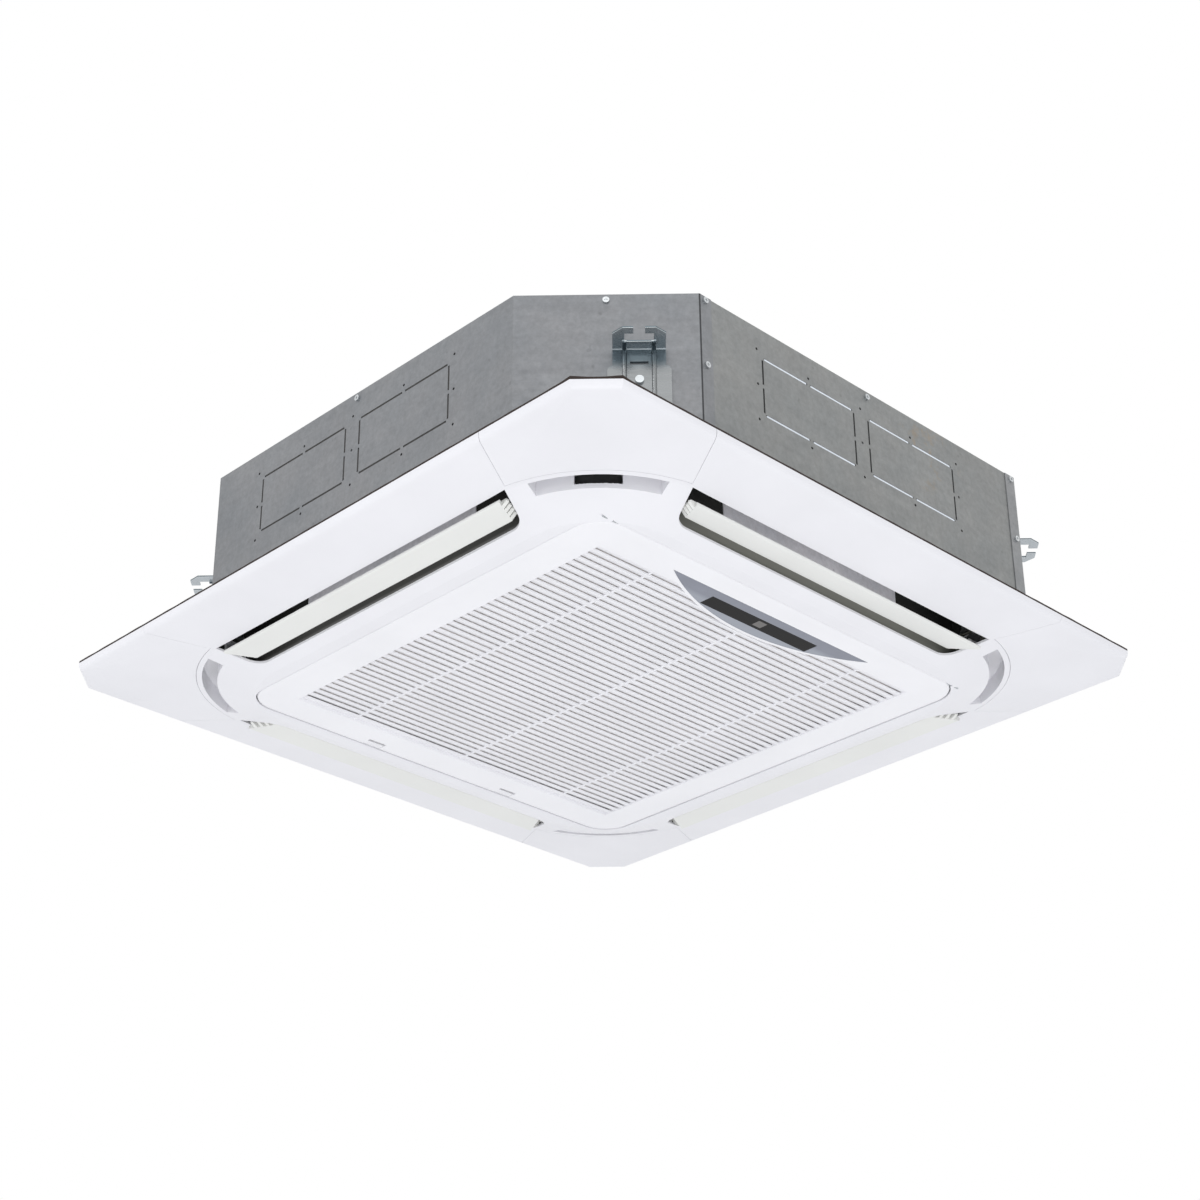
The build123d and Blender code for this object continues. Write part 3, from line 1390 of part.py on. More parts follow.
# return bends on the end plates: half rings, each joining two tubes
bend_count = tube_count // 2
bend_start = coil_end + coil_plate
with BuildPart() as coil_tubes:
    for i in range(bend_count):
        z = trough_floor + coil_height / 2 + (2 * i - bend_count + 1) * tube_pitch
        right_end = Plane((bend_start, coil_middle, z), x_dir=(1, 0, 0), z_dir=(0, -1, 0))
        back_end = Plane((coil_middle, bend_start, z), x_dir=(0, 1, 0), z_dir=(1, 0, 0))
        for bend_plane in (right_end, back_end):
            with BuildLine(bend_plane) as path:
                CenterArc((0, 0), tube_pitch / 2, -90, 180)
            bend = path.wires()[0]
            with BuildSketch(Plane(bend @ 0, z_dir=bend % 0)):
                Circle(tube_radius)
            sweep(path=bend)
coil_tubes.part.label = "coil_tubes"
print("coil_tubes", len(coil_tubes.part.solids()), coil_tubes.part.bounding_box())
export_step(coil_tubes.part, "parts/coil_tubes.step")

# --- fan motor, fan ---------------------------------------------------------
motor_top = case_top - sheet
with BuildPart() as fan_motor:
    with Locations((0, 0, motor_bottom)):
        Cylinder(motor_radius, motor_top - motor_bottom, align=(Align.CENTER, Align.CENTER, Align.MIN))
    fillet(fan_motor.edges().group_by(Axis.Z)[0], radius=motor_edge_round)
    with Locations((0, 0, motor_top - motor_flange)):
        Cylinder(motor_flange_radius, motor_flange, align=(Align.CENTER, Align.CENTER, Align.MIN))
    with Locations((0, 0, motor_bottom)):
        Cylinder(shaft_radius + running_gap, 2 * shaft_grip, mode=Mode.SUBTRACT)
fan_motor.part.label = "fan_motor"
export_step(fan_motor.part, "parts/fan_motor.step")

with BuildPart() as motor_shaft:
    with Locations((0, 0, shaft_bottom)):
        Cylinder(shaft_radius, motor_bottom + shaft_grip - shaft_end_gap - shaft_bottom,
                 align=(Align.CENTER, Align.CENTER, Align.MIN))
motor_shaft.part.label = "motor_shaft"
export_step(motor_shaft.part, "parts/motor_shaft.step")

with BuildPart() as turbo_fan:
    # back plate, hub cone round the motor and boss
    with BuildSketch(Plane.XZ):
        with BuildLine():
            Polyline(
                (shaft_radius + running_gap, fan_boss_bottom), (fan_boss_radius, fan_boss_bottom),
                (fan_boss_radius, fan_hub_bottom), (hub_foot_radius, fan_hub_bottom),
                (hub_top_radius + hub_wall, fan_plate_z), (fan_radius, fan_plate_z),
                (fan_radius, fan_plate_z + fan_plate), (hub_top_radius, fan_plate_z + fan_plate),
                (hub_foot_radius - hub_wall, fan_hub_bottom + hub_wall),
                (shaft_radius + running_gap, fan_hub_bottom + hub_wall), close=True,
            )
        make_face()
    revolve(axis=Axis.Z)
    with BuildSketch(Plane.XY.offset(fan_shroud_z)):
        Circle(fan_radius)
        Circle(fan_shroud_inner, mode=Mode.SUBTRACT)
    extrude(amount=fan_shroud)
    with BuildSketch(Plane.XY.offset(fan_shroud_z + fan_shroud / 2)):
        for i in range(fan_blades):
            start = 360 * i / fan_blades
            with BuildLine() as camber:
                ThreePointArc(
                    polar_point(blade_inner_radius, start),
                    polar_point(blade_middle_radius, start + blade_middle_angle),
                    polar_point(fan_radius - fan_blade_thickness, start + blade_end_angle),
                )
            trace(camber.line, line_width=fan_blade_thickness)
    extrude(amount=fan_plate_z + fan_plate / 2 - fan_shroud_z - fan_shroud / 2)
turbo_fan.part.label = "turbo_fan"
print("turbo_fan", len(turbo_fan.part.solids()))
export_step(turbo_fan.part, "parts/turbo_fan.step")

with BuildPart() as fan_nut:
    with BuildSketch(Plane.XY.offset(fan_boss_bottom - nut_height)):
        RegularPolygon(nut_width / 2, 6, major_radius=False)
        Circle(shaft_radius + running_gap, mode=Mode.SUBTRACT)
    extrude(amount=nut_height)
fan_nut.part.label = "fan_nut"
export_step(fan_nut.part, "parts/fan_nut.step")

# --- condensate pump, float switch, pipes -----------------------------------
with BuildPart() as drain_pump:
    with Locations((pump_xy, pump_xy, trough_floor)):
        Cylinder(pump_radius, pump_height, align=(Align.CENTER, Align.CENTER, Align.MIN))
    with Locations((pump_xy, pump_xy, trough_floor + pump_height)):
        Cylinder(pump_radius - pump_cap_inset, pump_cap_height,
                 align=(Align.CENTER, Align.CENTER, Align.MIN))
drain_pump.part.label = "drain_pump"
export_step(drain_pump.part, "parts/drain_pump.step")

with BuildPart() as float_switch:
    with Locations((float_xy, -float_xy, trough_floor)):
        Cylinder(float_stem_radius, float_stem_height, align=(Align.CENTER, Align.CENTER, Align.MIN))
    with Locations((float_xy, -float_xy, trough_floor + float_stem_height)):
        Cylinder(float_head_radius, float_head_height, align=(Align.CENTER, Align.CENTER, Align.MIN))
float_switch.part.label = "float_switch"
export_step(float_switch.part, "parts/float_switch.step")

with BuildPart() as float_ring:
    with Locations((float_xy, -float_xy, trough_floor + float_rest_gap)):
        Cylinder(float_radius, float_height, align=(Align.CENTER, Align.CENTER, Align.MIN))
        Cylinder(float_stem_radius + running_gap, 3 * float_height, mode=Mode.SUBTRACT)
float_ring.part.label = "float_ring"
export_step(float_ring.part, "parts/float_ring.step")


def port(point, radius, wall, shoulder):
    """Tube along X through the casing wall; inside the wall it is thicker by the shoulder."""
    inner_length = pipe_wall_x - coil_outer
    with BuildPart() as tube:
        with Locations(point):
            Cylinder(radius, pipe_reach, rotation=(0, 90, 0),
                     align=(Align.CENTER, Align.CENTER, Align.MIN))
            Cylinder(radius + shoulder, inner_length, rotation=(0, 90, 0),
                     align=(Align.CENTER, Align.CENTER, Align.MAX))
            Cylinder(radius - wall, 3 * inner_length, rotation=(0, 90, 0), mode=Mode.SUBTRACT)
    return tube.part


with BuildPart() as drain_outlet:
    add(port(drain_point, drain_radius, drain_wall, drain_shoulder))
drain_outlet.part.label = "drain_outlet"
export_step(drain_outlet.part, "parts/drain_outlet.step")

with BuildPart() as gas_pipe:
    add(port(gas_point, gas_radius, pipe_wall, 0))
gas_pipe.part.label = "gas_pipe"
export_step(gas_pipe.part, "parts/gas_pipe.step")

with BuildPart() as liquid_pipe:
    add(port(liquid_point, liquid_radius, pipe_wall, 0))
liquid_pipe.part.label = "liquid_pipe"
export_step(liquid_pipe.part, "parts/liquid_pipe.step")

with BuildPart() as flare_nuts:
    for point, radius, width in ((gas_point, gas_radius, gas_nut_width),
                                 (liquid_point, liquid_radius, liquid_nut_width)):
        nut_plane = Plane((pipe_wall_x + pipe_reach - nut_setback, point[1], point[2]),
                          x_dir=(0, 1, 0), z_dir=(-1, 0, 0))
        with BuildSketch(nut_plane):
            RegularPolygon(width / 2, 6, major_radius=False)
            Circle(radius + running_gap, mode=Mode.SUBTRACT)
        extrude(amount=flare_nut_length)
flare_nuts.part.label = "flare_nuts"
print("flare_nuts", flare_nuts.part.bounding_box())
export_step(flare_nuts.part, "parts/flare_nuts.step")

with BuildPart() as pipe_plate:
    with Locations((pipe_wall_x + pipe_plate_thickness / 2, (gas_y + liquid_y) / 2, pipe_z)):
        Box(pipe_plate_thickness, pipe_plate_length, pipe_plate_height)
    fillet(pipe_plate.edges().filter_by(Axis.X), radius=pipe_plate_corner)
    add(port_holes(running_gap), mode=Mode.SUBTRACT)
pipe_plate.part.label = "pipe_plate"
print("pipe_plate", len(pipe_plate.part.solids()), pipe_plate.part.bounding_box())
export_step(pipe_plate.part, "parts/pipe_plate.step")

# --- electrical box ------------------------------------------------------------
box_mid_y = (box_inner_y + box_outer_y) / 2
box_span_y = box_outer_y - box_inner_y
with BuildPart() as electrical_box:
    with BuildSketch(Plane.XY.offset(box_bottom + box_lid_thickness)):
        with Locations((0, box_mid_y)):
            Rectangle(2 * box_half_x, box_span_y)
    extrude(amount=pan_bottom - box_bottom - box_lid_thickness)
    with BuildSketch(Plane.XY.offset(box_bottom + box_lid_thickness - overrun)):
        with Locations((0, box_mid_y)):
            Rectangle(2 * (box_half_x - box_wall), box_span_y - 2 * box_wall)
    extrude(amount=pan_bottom - box_bottom - box_lid_thickness - box_wall + overrun,
            mode=Mode.SUBTRACT)
electrical_box.part.label = "electrical_box"
export_step(electrical_box.part, "parts/electrical_box.step")

with BuildPart() as box_lid:
    with BuildSketch(Plane.XY.offset(box_bottom)):
        with Locations((0, box_mid_y)):
            RectangleRounded(2 * box_half_x, box_span_y, box_lid_corner)
    extrude(amount=box_lid_thickness)
box_lid.part.label = "box_lid"
export_step(box_lid.part, "parts/box_lid.step")
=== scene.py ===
import json
import math
import random
from collections import namedtuple

import bmesh
import bpy
from mathutils import Matrix, Vector


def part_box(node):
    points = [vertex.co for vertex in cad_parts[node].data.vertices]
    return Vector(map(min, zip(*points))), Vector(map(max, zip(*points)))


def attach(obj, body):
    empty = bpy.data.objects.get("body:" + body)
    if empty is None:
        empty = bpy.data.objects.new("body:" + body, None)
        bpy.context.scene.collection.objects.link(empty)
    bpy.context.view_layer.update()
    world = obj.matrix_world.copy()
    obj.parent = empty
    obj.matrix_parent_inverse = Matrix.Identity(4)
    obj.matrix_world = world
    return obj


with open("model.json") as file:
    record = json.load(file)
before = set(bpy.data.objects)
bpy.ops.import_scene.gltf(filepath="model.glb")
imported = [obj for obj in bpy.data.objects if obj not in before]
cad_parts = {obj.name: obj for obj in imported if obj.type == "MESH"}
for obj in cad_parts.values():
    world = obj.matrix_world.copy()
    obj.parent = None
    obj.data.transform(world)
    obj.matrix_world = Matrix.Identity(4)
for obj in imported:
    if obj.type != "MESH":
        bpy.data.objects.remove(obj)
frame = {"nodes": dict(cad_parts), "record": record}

# Ceiling cassette air conditioner.  The imported solids carry the shapes.  This script gives them
# their materials, adds a foam gasket, foam crumbs, and dark and pale pieces that paint shadow and
# a reflection in slits, holes and windows, and sets up the studio and the camera.  Metres, +Z up.
# The fascia faces -Z, and the corner nearest the camera is -X -Y.

MM = 0.001
ROOT2 = math.sqrt(2)
UNIT = "unit"

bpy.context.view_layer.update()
nodes = frame["nodes"]


# ---------------------------------------------------------------------------
# camera: fitted to the fascia's corners, seams and slots
# ---------------------------------------------------------------------------
SENSOR_MM = 36.0
IMAGE_PIXELS = 1200.0
FOCAL_PIXELS = 2386.44
CAMERA_PLACE = Vector((-1.8611, -1.8832, -1.2844))
CAMERA_AZIMUTH = math.radians(45.4)
CAMERA_RISE = math.radians(28.17)
CAMERA_ROLL = math.radians(-0.49)
CLIP_START = 0.01
CLIP_END = 100.0


def add_camera():
    look = Vector((
        math.cos(CAMERA_RISE) * math.cos(CAMERA_AZIMUTH),
        math.cos(CAMERA_RISE) * math.sin(CAMERA_AZIMUTH),
        math.sin(CAMERA_RISE),
    ))
    level = look.cross(Vector((0, 0, 1))).normalized()
    rise = level.cross(look)
    right = math.cos(CAMERA_ROLL) * level + math.sin(CAMERA_ROLL) * rise
    up = right.cross(look)
    data = bpy.data.cameras.new("camera")
    data.sensor_width = SENSOR_MM
    data.lens = FOCAL_PIXELS / IMAGE_PIXELS * SENSOR_MM
    data.clip_start = CLIP_START
    data.clip_end = CLIP_END
    camera = bpy.data.objects.new("camera", data)
    bpy.context.scene.collection.objects.link(camera)
    turn = Matrix((right, up, -look)).transposed()
    camera.matrix_world = Matrix.Translation(CAMERA_PLACE) @ turn.to_4x4()
    bpy.context.scene.camera = camera


# ---------------------------------------------------------------------------
# shader nodes: each helper returns the socket that holds its result
# ---------------------------------------------------------------------------
NOISE_SPAN = (0.3, 0.7)  # nearly all of a noise's values
MIX_SHARE, MIX_A, MIX_B = 0, 6, 7  # sockets of a colour mix
MIX_RESULT = 2
BAND_CORE = 0.6  # share of a line's half width that has its full tone


def maths(tree, operation, *values):
    """Math node on sockets and plain numbers."""
    node = tree.nodes.new("ShaderNodeMath")
    node.operation = operation
    for socket, value in zip(node.inputs, values):
        if isinstance(value, float):
            socket.default_value = value
        else:
            tree.links.new(value, socket)
    return node.outputs[0]


def object_position(tree):
    return tree.nodes.new("ShaderNodeTexCoord").outputs["Object"]


def along(tree, axis):
    """Object coordinate along X, Y or Z."""
    parts = tree.nodes.new("ShaderNodeSeparateXYZ")
    tree.links.new(object_position(tree), parts.inputs[0])
    return parts.outputs[axis]


def noise(tree, scale, detail=2.0, rough=0.5, stretch=None):
    """Noise in object space; a stretch scales each axis."""
    source = object_position(tree)
    if stretch is not None:
        mapping = tree.nodes.new("ShaderNodeMapping")
        mapping.inputs["Scale"].default_value = stretch
        tree.links.new(source, mapping.inputs["Vector"])
        source = mapping.outputs["Vector"]
    node = tree.nodes.new("ShaderNodeTexNoise")
    node.inputs["Scale"].default_value = scale
    node.inputs["Detail"].default_value = detail
    node.inputs["Roughness"].default_value = rough
    tree.links.new(source, node.inputs["Vector"])
    return node.outputs["Fac"]


def cells(tree, scale):
    """Distance from the middle of Voronoi cells in object space."""
    node = tree.nodes.new("ShaderNodeTexVoronoi")
    node.inputs["Scale"].default_value = scale
    tree.links.new(object_position(tree), node.inputs["Vector"])
    return node.outputs["Distance"]


def waves(tree, direction, scale):
    """Bands in object space."""
    node = tree.nodes.new("ShaderNodeTexWave")
    node.wave_type = "BANDS"
    node.bands_direction = direction
    node.inputs["Scale"].default_value = scale
    tree.links.new(object_position(tree), node.inputs["Vector"])
    return node.outputs["Fac"]


def map_range(tree, value, span, results):
    """Value mapped from one span to another, and held at its ends."""
    node = tree.nodes.new("ShaderNodeMapRange")
    node.inputs["From Min"].default_value, node.inputs["From Max"].default_value = span
    node.inputs["To Min"].default_value, node.inputs["To Max"].default_value = results
    tree.links.new(value, node.inputs["Value"])
    return node.outputs["Result"]


def band(tree, axis, middle, half):
    """1 near a middle along an axis, fading to 0 at a half width from it."""
    offset = maths(tree, "ABSOLUTE", maths(tree, "SUBTRACT", along(tree, axis), middle))
    return map_range(tree, offset, (half * BAND_CORE, half), (1.0, 0.0))


def nearness(tree, place, reach):
    """1 at a place on the object, fading to 0 at a reach from it."""
    gap = tree.nodes.new("ShaderNodeVectorMath")
    gap.operation = "DISTANCE"
    tree.links.new(object_position(tree), gap.inputs[0])
    gap.inputs[1].default_value = place
    return map_range(tree, gap.outputs["Value"], (0.0, reach), (1.0, 0.0))


def ramp(tree, fac, low, high):
    """Colour ramp between two (position, colour) stops."""
    node = tree.nodes.new("ShaderNodeValToRGB")
    for element, (place, colour) in zip(node.color_ramp.elements, (low, high)):
        element.position = place
        element.color = (*colour, 1.0)
    tree.links.new(fac, node.inputs["Fac"])
    return node.outputs["Color"]


def mix_colour(tree, fac, a, b, mode="MIX"):
    """Mix of two colours, each a socket or a tuple, by a socket or a plain share."""
    node = tree.nodes.new("ShaderNodeMix")
    node.data_type = "RGBA"
    node.blend_type = mode
    if isinstance(fac, float):
        node.inputs[MIX_SHARE].default_value = fac
    else:
        tree.links.new(fac, node.inputs[MIX_SHARE])
    for index, value in ((MIX_A, a), (MIX_B, b)):
        if isinstance(value, tuple):
            node.inputs[index].default_value = (*value, 1.0)
        else:
            tree.links.new(value, node.inputs[index])
    return node.outputs[MIX_RESULT]


def tinted(tree, tone, fac, low, high):
    """Tone multiplied by a ramp between two (position, tint) stops."""
    return mix_colour(tree, 1.0, tone, ramp(tree, fac, low, high), "MULTIPLY")


def mottled(tree, fac, colour, dark, pale, span=NOISE_SPAN):
    """Colour that a noise moves between two brightnesses."""
    low, high = span
    return ramp(tree, fac, (low, shade(colour, dark)), (high, shade(colour, pale)))


def bump(tree, shader, height, strength, distance):
    node = tree.nodes.new("ShaderNodeBump")
    node.inputs["Strength"].default_value = strength
    node.inputs["Distance"].default_value = distance
    tree.links.new(height, node.inputs["Height"])
    tree.links.new(node.outputs["Normal"], shader.inputs["Normal"])


def vary_roughness(tree, shader, fac, rough, less, more):
    """Roughness that a noise moves between rough - less and rough + more."""
    varied = map_range(tree, fac, NOISE_SPAN, (rough - less, rough + more))
    tree.links.new(varied, shader.inputs["Roughness"])


def shade(colour, factor):
    return tuple(c * factor for c in colour)


def grey(value):
    return (value, value, value)


def new_material(name):
    material = bpy.data.materials.new(name)
    material.use_nodes = True
    return material, material.node_tree, material.node_tree.nodes["Principled BSDF"]


# ---------------------------------------------------------------------------
# studio: white world, soft lamps, floor well below the hanging object
# ---------------------------------------------------------------------------
WORLD_COLOUR = (0.96, 0.975, 1.0)
WORLD_STRENGTH = 0.86
BACKDROP_COLOUR = (1.0, 1.0, 1.0)
BACKDROP_STRENGTH = 1.0

FLOOR_Z = -3.4
FLOOR_HALF = 14.0
FLOOR_COLOUR = (0.86, 0.86, 0.86)
FLOOR_ROUGHNESS = 0.9

# lamp between the louvres and the filter, shining up
GRILLE_LAMP_Z = 7.8 * MM
GRILLE_LAMP_SIZE = (0.53, 0.53)

# narrow lamps just inside the outer walls of the two ducts that the camera looks into
DUCT_LAMP_INSET = 5.5 * MM
DUCT_LAMP_Z = 36 * MM
DUCT_LAMP_SIZE = (0.4, 0.016)
DUCT_LAMP_WATTS = 0.05
DUCT_AIM = 340 * MM
DUCT_AIM_Z = 30 * MM
LEFT_DUCT_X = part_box("outlet_liner_left")[0][0] + DUCT_LAMP_INSET
FRONT_DUCT_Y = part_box("outlet_liner_front")[0][1] + DUCT_LAMP_INSET

Lamp = namedtuple("Lamp", "name place aim size watts")
LAMPS = (
    # soft box under the fascia, and one for the casing's left side
    Lamp("below_key", (-1.3, -1.5, -2.9), (0, 0, 0.05), (2.6, 2.6), 39.5),
    Lamp("left_fill", (-3.4, 0.8, 0.2), (0, 0, 0.1), (2.4, 2.4), 8.0),
    # the near chamfer, the edges of its bracket, and the top
    Lamp("corner_glow", (-2.3, -2.25, 1.7), (-0.3, -0.3, 0.15), (1.6, 1.6), 5.5),
    Lamp("bead_glint", (-3.2, -0.3, 1.7), (-0.35, -0.35, 0.15), (0.5, 1.2), 7.0),
    Lamp("top_soft", (0.6, -0.6, 3.2), (0, 0, 0.2), (3.0, 3.0), 26.0),
    # inside the object
    Lamp("grille_fill", (0, 0, GRILLE_LAMP_Z), (0, 0, 0.05), GRILLE_LAMP_SIZE, 0.14),
    Lamp("left_duct_glow", (LEFT_DUCT_X, 0, DUCT_LAMP_Z), (-DUCT_AIM, 0, DUCT_AIM_Z),
         DUCT_LAMP_SIZE, DUCT_LAMP_WATTS),
    Lamp("front_duct_glow", (0, FRONT_DUCT_Y, DUCT_LAMP_Z), (0, -DUCT_AIM, DUCT_AIM_Z),
         DUCT_LAMP_SIZE, DUCT_LAMP_WATTS),
)


def seen_directly(tree):
    """1 for camera, glossy and transmission rays, else 0."""
    path = tree.nodes.new("ShaderNodeLightPath").outputs
    mirrored = maths(tree, "MAXIMUM", path["Is Glossy Ray"], path["Is Transmission Ray"])
    return maths(tree, "MAXIMUM", path["Is Camera Ray"], mirrored)


def background(tree, colour, strength):
    node = tree.nodes.new("ShaderNodeBackground")
    node.inputs["Color"].default_value = (*colour, 1.0)
    node.inputs["Strength"].default_value = strength
    return node.outputs[0]


def add_world():
    """White behind the object and in its reflections, slightly dimmer and cooler as light."""
    world = bpy.data.worlds.new("studio_world")
    bpy.context.scene.world = world
    world.use_nodes = True
    tree = world.node_tree
    tree.nodes.clear()
    out = tree.nodes.new("ShaderNodeOutputWorld")
    mix = tree.nodes.new("ShaderNodeMixShader")
    tree.links.new(seen_directly(tree), mix.inputs[0])
    tree.links.new(background(tree, WORLD_COLOUR, WORLD_STRENGTH), mix.inputs[1])
    tree.links.new(background(tree, BACKDROP_COLOUR, BACKDROP_STRENGTH), mix.inputs[2])
    tree.links.new(mix.outputs[0], out.inputs[0])


def add_lamp(lamp):
    data = bpy.data.lights.new(lamp.name, "AREA")
    data.shape = "RECTANGLE"
    data.size, data.size_y = lamp.size
    data.energy = lamp.watts
    item = bpy.data.objects.new(lamp.name, data)
    bpy.context.scene.collection.objects.link(item)
    item.location = lamp.place
    beam = Vector(lamp.aim) - Vector(lamp.place)
    item.rotation_euler = beam.to_track_quat("-Z", "Y").to_euler()
    item.visible_camera = False


def add_floor():
    material, _, shader = new_material("floor_paper")
    shader.inputs["Base Color"].default_value = (*FLOOR_COLOUR, 1.0)
    shader.inputs["Roughness"].default_value = FLOOR_ROUGHNESS
    mesh = bpy.data.meshes.new("studio_floor")
    corners = [(x * FLOOR_HALF, y * FLOOR_HALF, FLOOR_Z)
               for x, y in ((-1, -1), (1, -1), (1, 1), (-1, 1))]
    mesh.from_pydata(corners, [], [(0, 1, 2, 3)])
    mesh.materials.append(material)
    floor = bpy.data.objects.new("studio_floor", mesh)
    bpy.context.scene.collection.objects.link(floor)


def add_studio():
    add_world()
    for lamp in LAMPS:
        add_lamp(lamp)
    add_floor()


# ---------------------------------------------------------------------------
# places on the object where a material changes
# ---------------------------------------------------------------------------
# the display lens is darker along its straight side
LENS_TONE_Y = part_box("display_lens")[0][1] + 21.1 * MM
LENS_TONE_FADE = 4 * MM

# the left duct's liner pales towards its lower lip, a painted reflection
LINER_LIP_REFLECTION_SPAN = (7.0 * MM, 13.5 * MM)

# hanging brackets: the foot below the step has the casing's tone, the top fold a bright line
HANGER_STEP_Z = 156 * MM
HANGER_STEP_FADE = 6 * MM
HANGER_FOLD_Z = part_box("hanger_near")[1][2] - 2.2 * MM
HANGER_FOLD_HALF = 0.8 * MM
HANGER_FOOT = (0.25, 0.26, 0.265)
FOLD_GLINT = (0.62, 0.66, 0.68)

# casing sheets: the left sheet's lap flange lies behind the end of the front sheet; the dark
# lines at the lap's fold and at the flange's end are painted shadow
FRONT_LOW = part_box("case_front")[0]
FRONT_Y = FRONT_LOW[1]
LEFT_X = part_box("case_wrap_left")[0][0]
LAP_FLANGE = 18 * MM
LAP_FOLD_X = FRONT_LOW[0] - 0.46 * MM
LAP_FOLD_HALF = 1.1 * MM
LAP_FOLD_PAINTED_SHADOW = (0.05, 0.052, 0.055)
LAP_END_X = FRONT_LOW[0] + LAP_FLANGE
LAP_END_HALF = 0.8 * MM
LAP_END_PAINTED_SHADOW = (0.12, 0.125, 0.13)

# rusty patch on the front sheet
STAIN_PLACE = (130 * MM, FRONT_Y, 218 * MM)
STAIN_REACH = 85 * MM
STAIN_COLOUR = (0.33, 0.25, 0.16)


# ---------------------------------------------------------------------------
# materials
# ---------------------------------------------------------------------------
def moulded(name, colour, rough=0.42, texture=1800.0, mottling=0.03, grain=0.25, lip=None):
    """Moulded plastic: fine spark texture, cloudy tone and, at choice, a paler band low down, a
    painted reflection at the lip.
    """
    material, tree, shader = new_material(name)
    cloud = noise(tree, scale=9.0, detail=3.0)
    tone = mottled(tree, cloud, colour, dark=1 - mottling, pale=1 + mottling * 0.4)
    if lip is not None:
        share = map_range(tree, along(tree, "Z"), LINER_LIP_REFLECTION_SPAN, (1.0, 0.0))
        tone = mix_colour(tree, share, tone, lip)
    tree.links.new(tone, shader.inputs["Base Color"])
    spark = noise(tree, scale=texture, detail=1.0)
    vary_roughness(tree, shader, spark, rough, less=0.05, more=0.06)
    bump(tree, shader, spark, strength=grain, distance=0.05 * MM)
    shader.inputs["Specular IOR Level"].default_value = 0.4
    return material


def zinc_tone(tree, colour, spangle, cloud):
    """Zinc's colour: clouds, crystal spangle, fine mottling, patina and dull specks."""
    low, high = NOISE_SPAN
    tone = mottled(tree, cloud, colour, dark=0.93, pale=1.05, span=(0.25, 0.75))
    tone = tinted(tree, tone, cells(tree, spangle), (0.0, grey(0.96)), (1.0, grey(1.05)))
    mottle = noise(tree, scale=160.0, detail=3.0, rough=0.7)
    tone = tinted(tree, tone, mottle, (low, grey(0.90)), (high, grey(1.08)))
    patina = noise(tree, scale=14.0, detail=4.0, rough=0.6)
    tone = tinted(tree, tone, patina, (low, (0.93, 0.95, 0.95)), (high, (1.06, 1.05, 1.03)))
    dots = noise(tree, scale=95.0, detail=1.0)
    specks = ramp(tree, dots, (0.74, grey(0.0)), (0.80, grey(0.35)))
    return mix_colour(tree, specks, tone, shade(colour, 0.55))


def stained(tree, tone):
    """Tone with patches of rust round the stain's place."""
    blots = noise(tree, scale=55.0, detail=4.0, rough=0.65)
    patches = ramp(tree, blots, (0.55, grey(0.0)), (0.68, grey(0.5)))
    near = nearness(tree, STAIN_PLACE, STAIN_REACH)
    where = tinted(tree, patches, near, (0.1, grey(0.0)), (0.7, grey(1.0)))
    return mix_colour(tree, where, tone, STAIN_COLOUR)


def galvanised(name, colour, metal=0.75, rough=0.46, spangle=60.0, foot=None, lines=(),
               stain=False):
    """Zinc-coated sheet with rolling streaks, and at choice a foot, lines and a stain.

    The foot is the colour below the hanger's step, and each line is an axis, the place and the
    half width along it, and a colour; the lines are painted shadow or a painted highlight.
    """
    material, tree, shader = new_material(name)
    cloud = noise(tree, scale=5.0, detail=4.0, rough=0.55)
    tone = zinc_tone(tree, colour, spangle, cloud)
    if foot is not None:
        step = (HANGER_STEP_Z - HANGER_STEP_FADE, HANGER_STEP_Z + HANGER_STEP_FADE)
        tone = mix_colour(tree, map_range(tree, along(tree, "Z"), step, (1.0, 0.0)), tone, foot)
    for axis, middle, half, line_colour in lines:
        tone = mix_colour(tree, band(tree, axis, middle, half), tone, line_colour)
    if stain:
        tone = stained(tree, tone)
    tree.links.new(tone, shader.inputs["Base Color"])
    shader.inputs["Metallic"].default_value = metal
    streaks = noise(tree, scale=30.0, detail=3.0, rough=0.6, stretch=(0.25, 0.25, 3.0))
    vary_roughness(tree, shader, streaks, rough, less=0.06, more=0.08)
    bump(tree, shader, cloud, strength=0.08, distance=2 * MM)
    return material


def foam(name, colour, cell=420.0, depth=0.6 * MM):
    """Foam: rounded beads that press against each other."""
    material, tree, shader = new_material(name)
    beads = cells(tree, cell)
    tone = ramp(tree, beads, (0.0, colour), (0.9, shade(colour, 0.82)))
    tree.links.new(tone, shader.inputs["Base Color"])
    shader.inputs["Roughness"].default_value = 0.85
    bump(tree, shader, beads, strength=0.5, distance=-depth)
    return material


def glossy(name, colour, rough=0.16, coat=0.3, gloss=0.5, inner=None):
    """Polished plastic; an inner colour takes over away from the display's straight side."""
    material, tree, shader = new_material(name)
    tone = mottled(tree, noise(tree, scale=40.0), colour, dark=0.96, pale=1.03)
    if inner is not None:
        fade = (LENS_TONE_Y - LENS_TONE_FADE, LENS_TONE_Y + LENS_TONE_FADE)
        tone = mix_colour(tree, map_range(tree, along(tree, "Y"), fade, (0.0, 1.0)), tone, inner)
    tree.links.new(tone, shader.inputs["Base Color"])
    vary_roughness(tree, shader, noise(tree, scale=300.0), rough, less=0.03, more=0.05)
    shader.inputs["Coat Weight"].default_value = coat
    shader.inputs["Specular IOR Level"].default_value = gloss
    return material


def finned(name, colour):
    """Stacked fins: bands of bare metal, with painted shade for the gaps between them."""
    material, tree, shader = new_material(name)
    fins = waves(tree, "DIAGONAL", scale=31.25)
    tone = ramp(tree, fins, (0.2, shade(colour, 0.35)), (0.7, colour))
    tree.links.new(tone, shader.inputs["Base Color"])
    shader.inputs["Metallic"].default_value = 0.7
    shader.inputs["Roughness"].default_value = 0.45
    return material


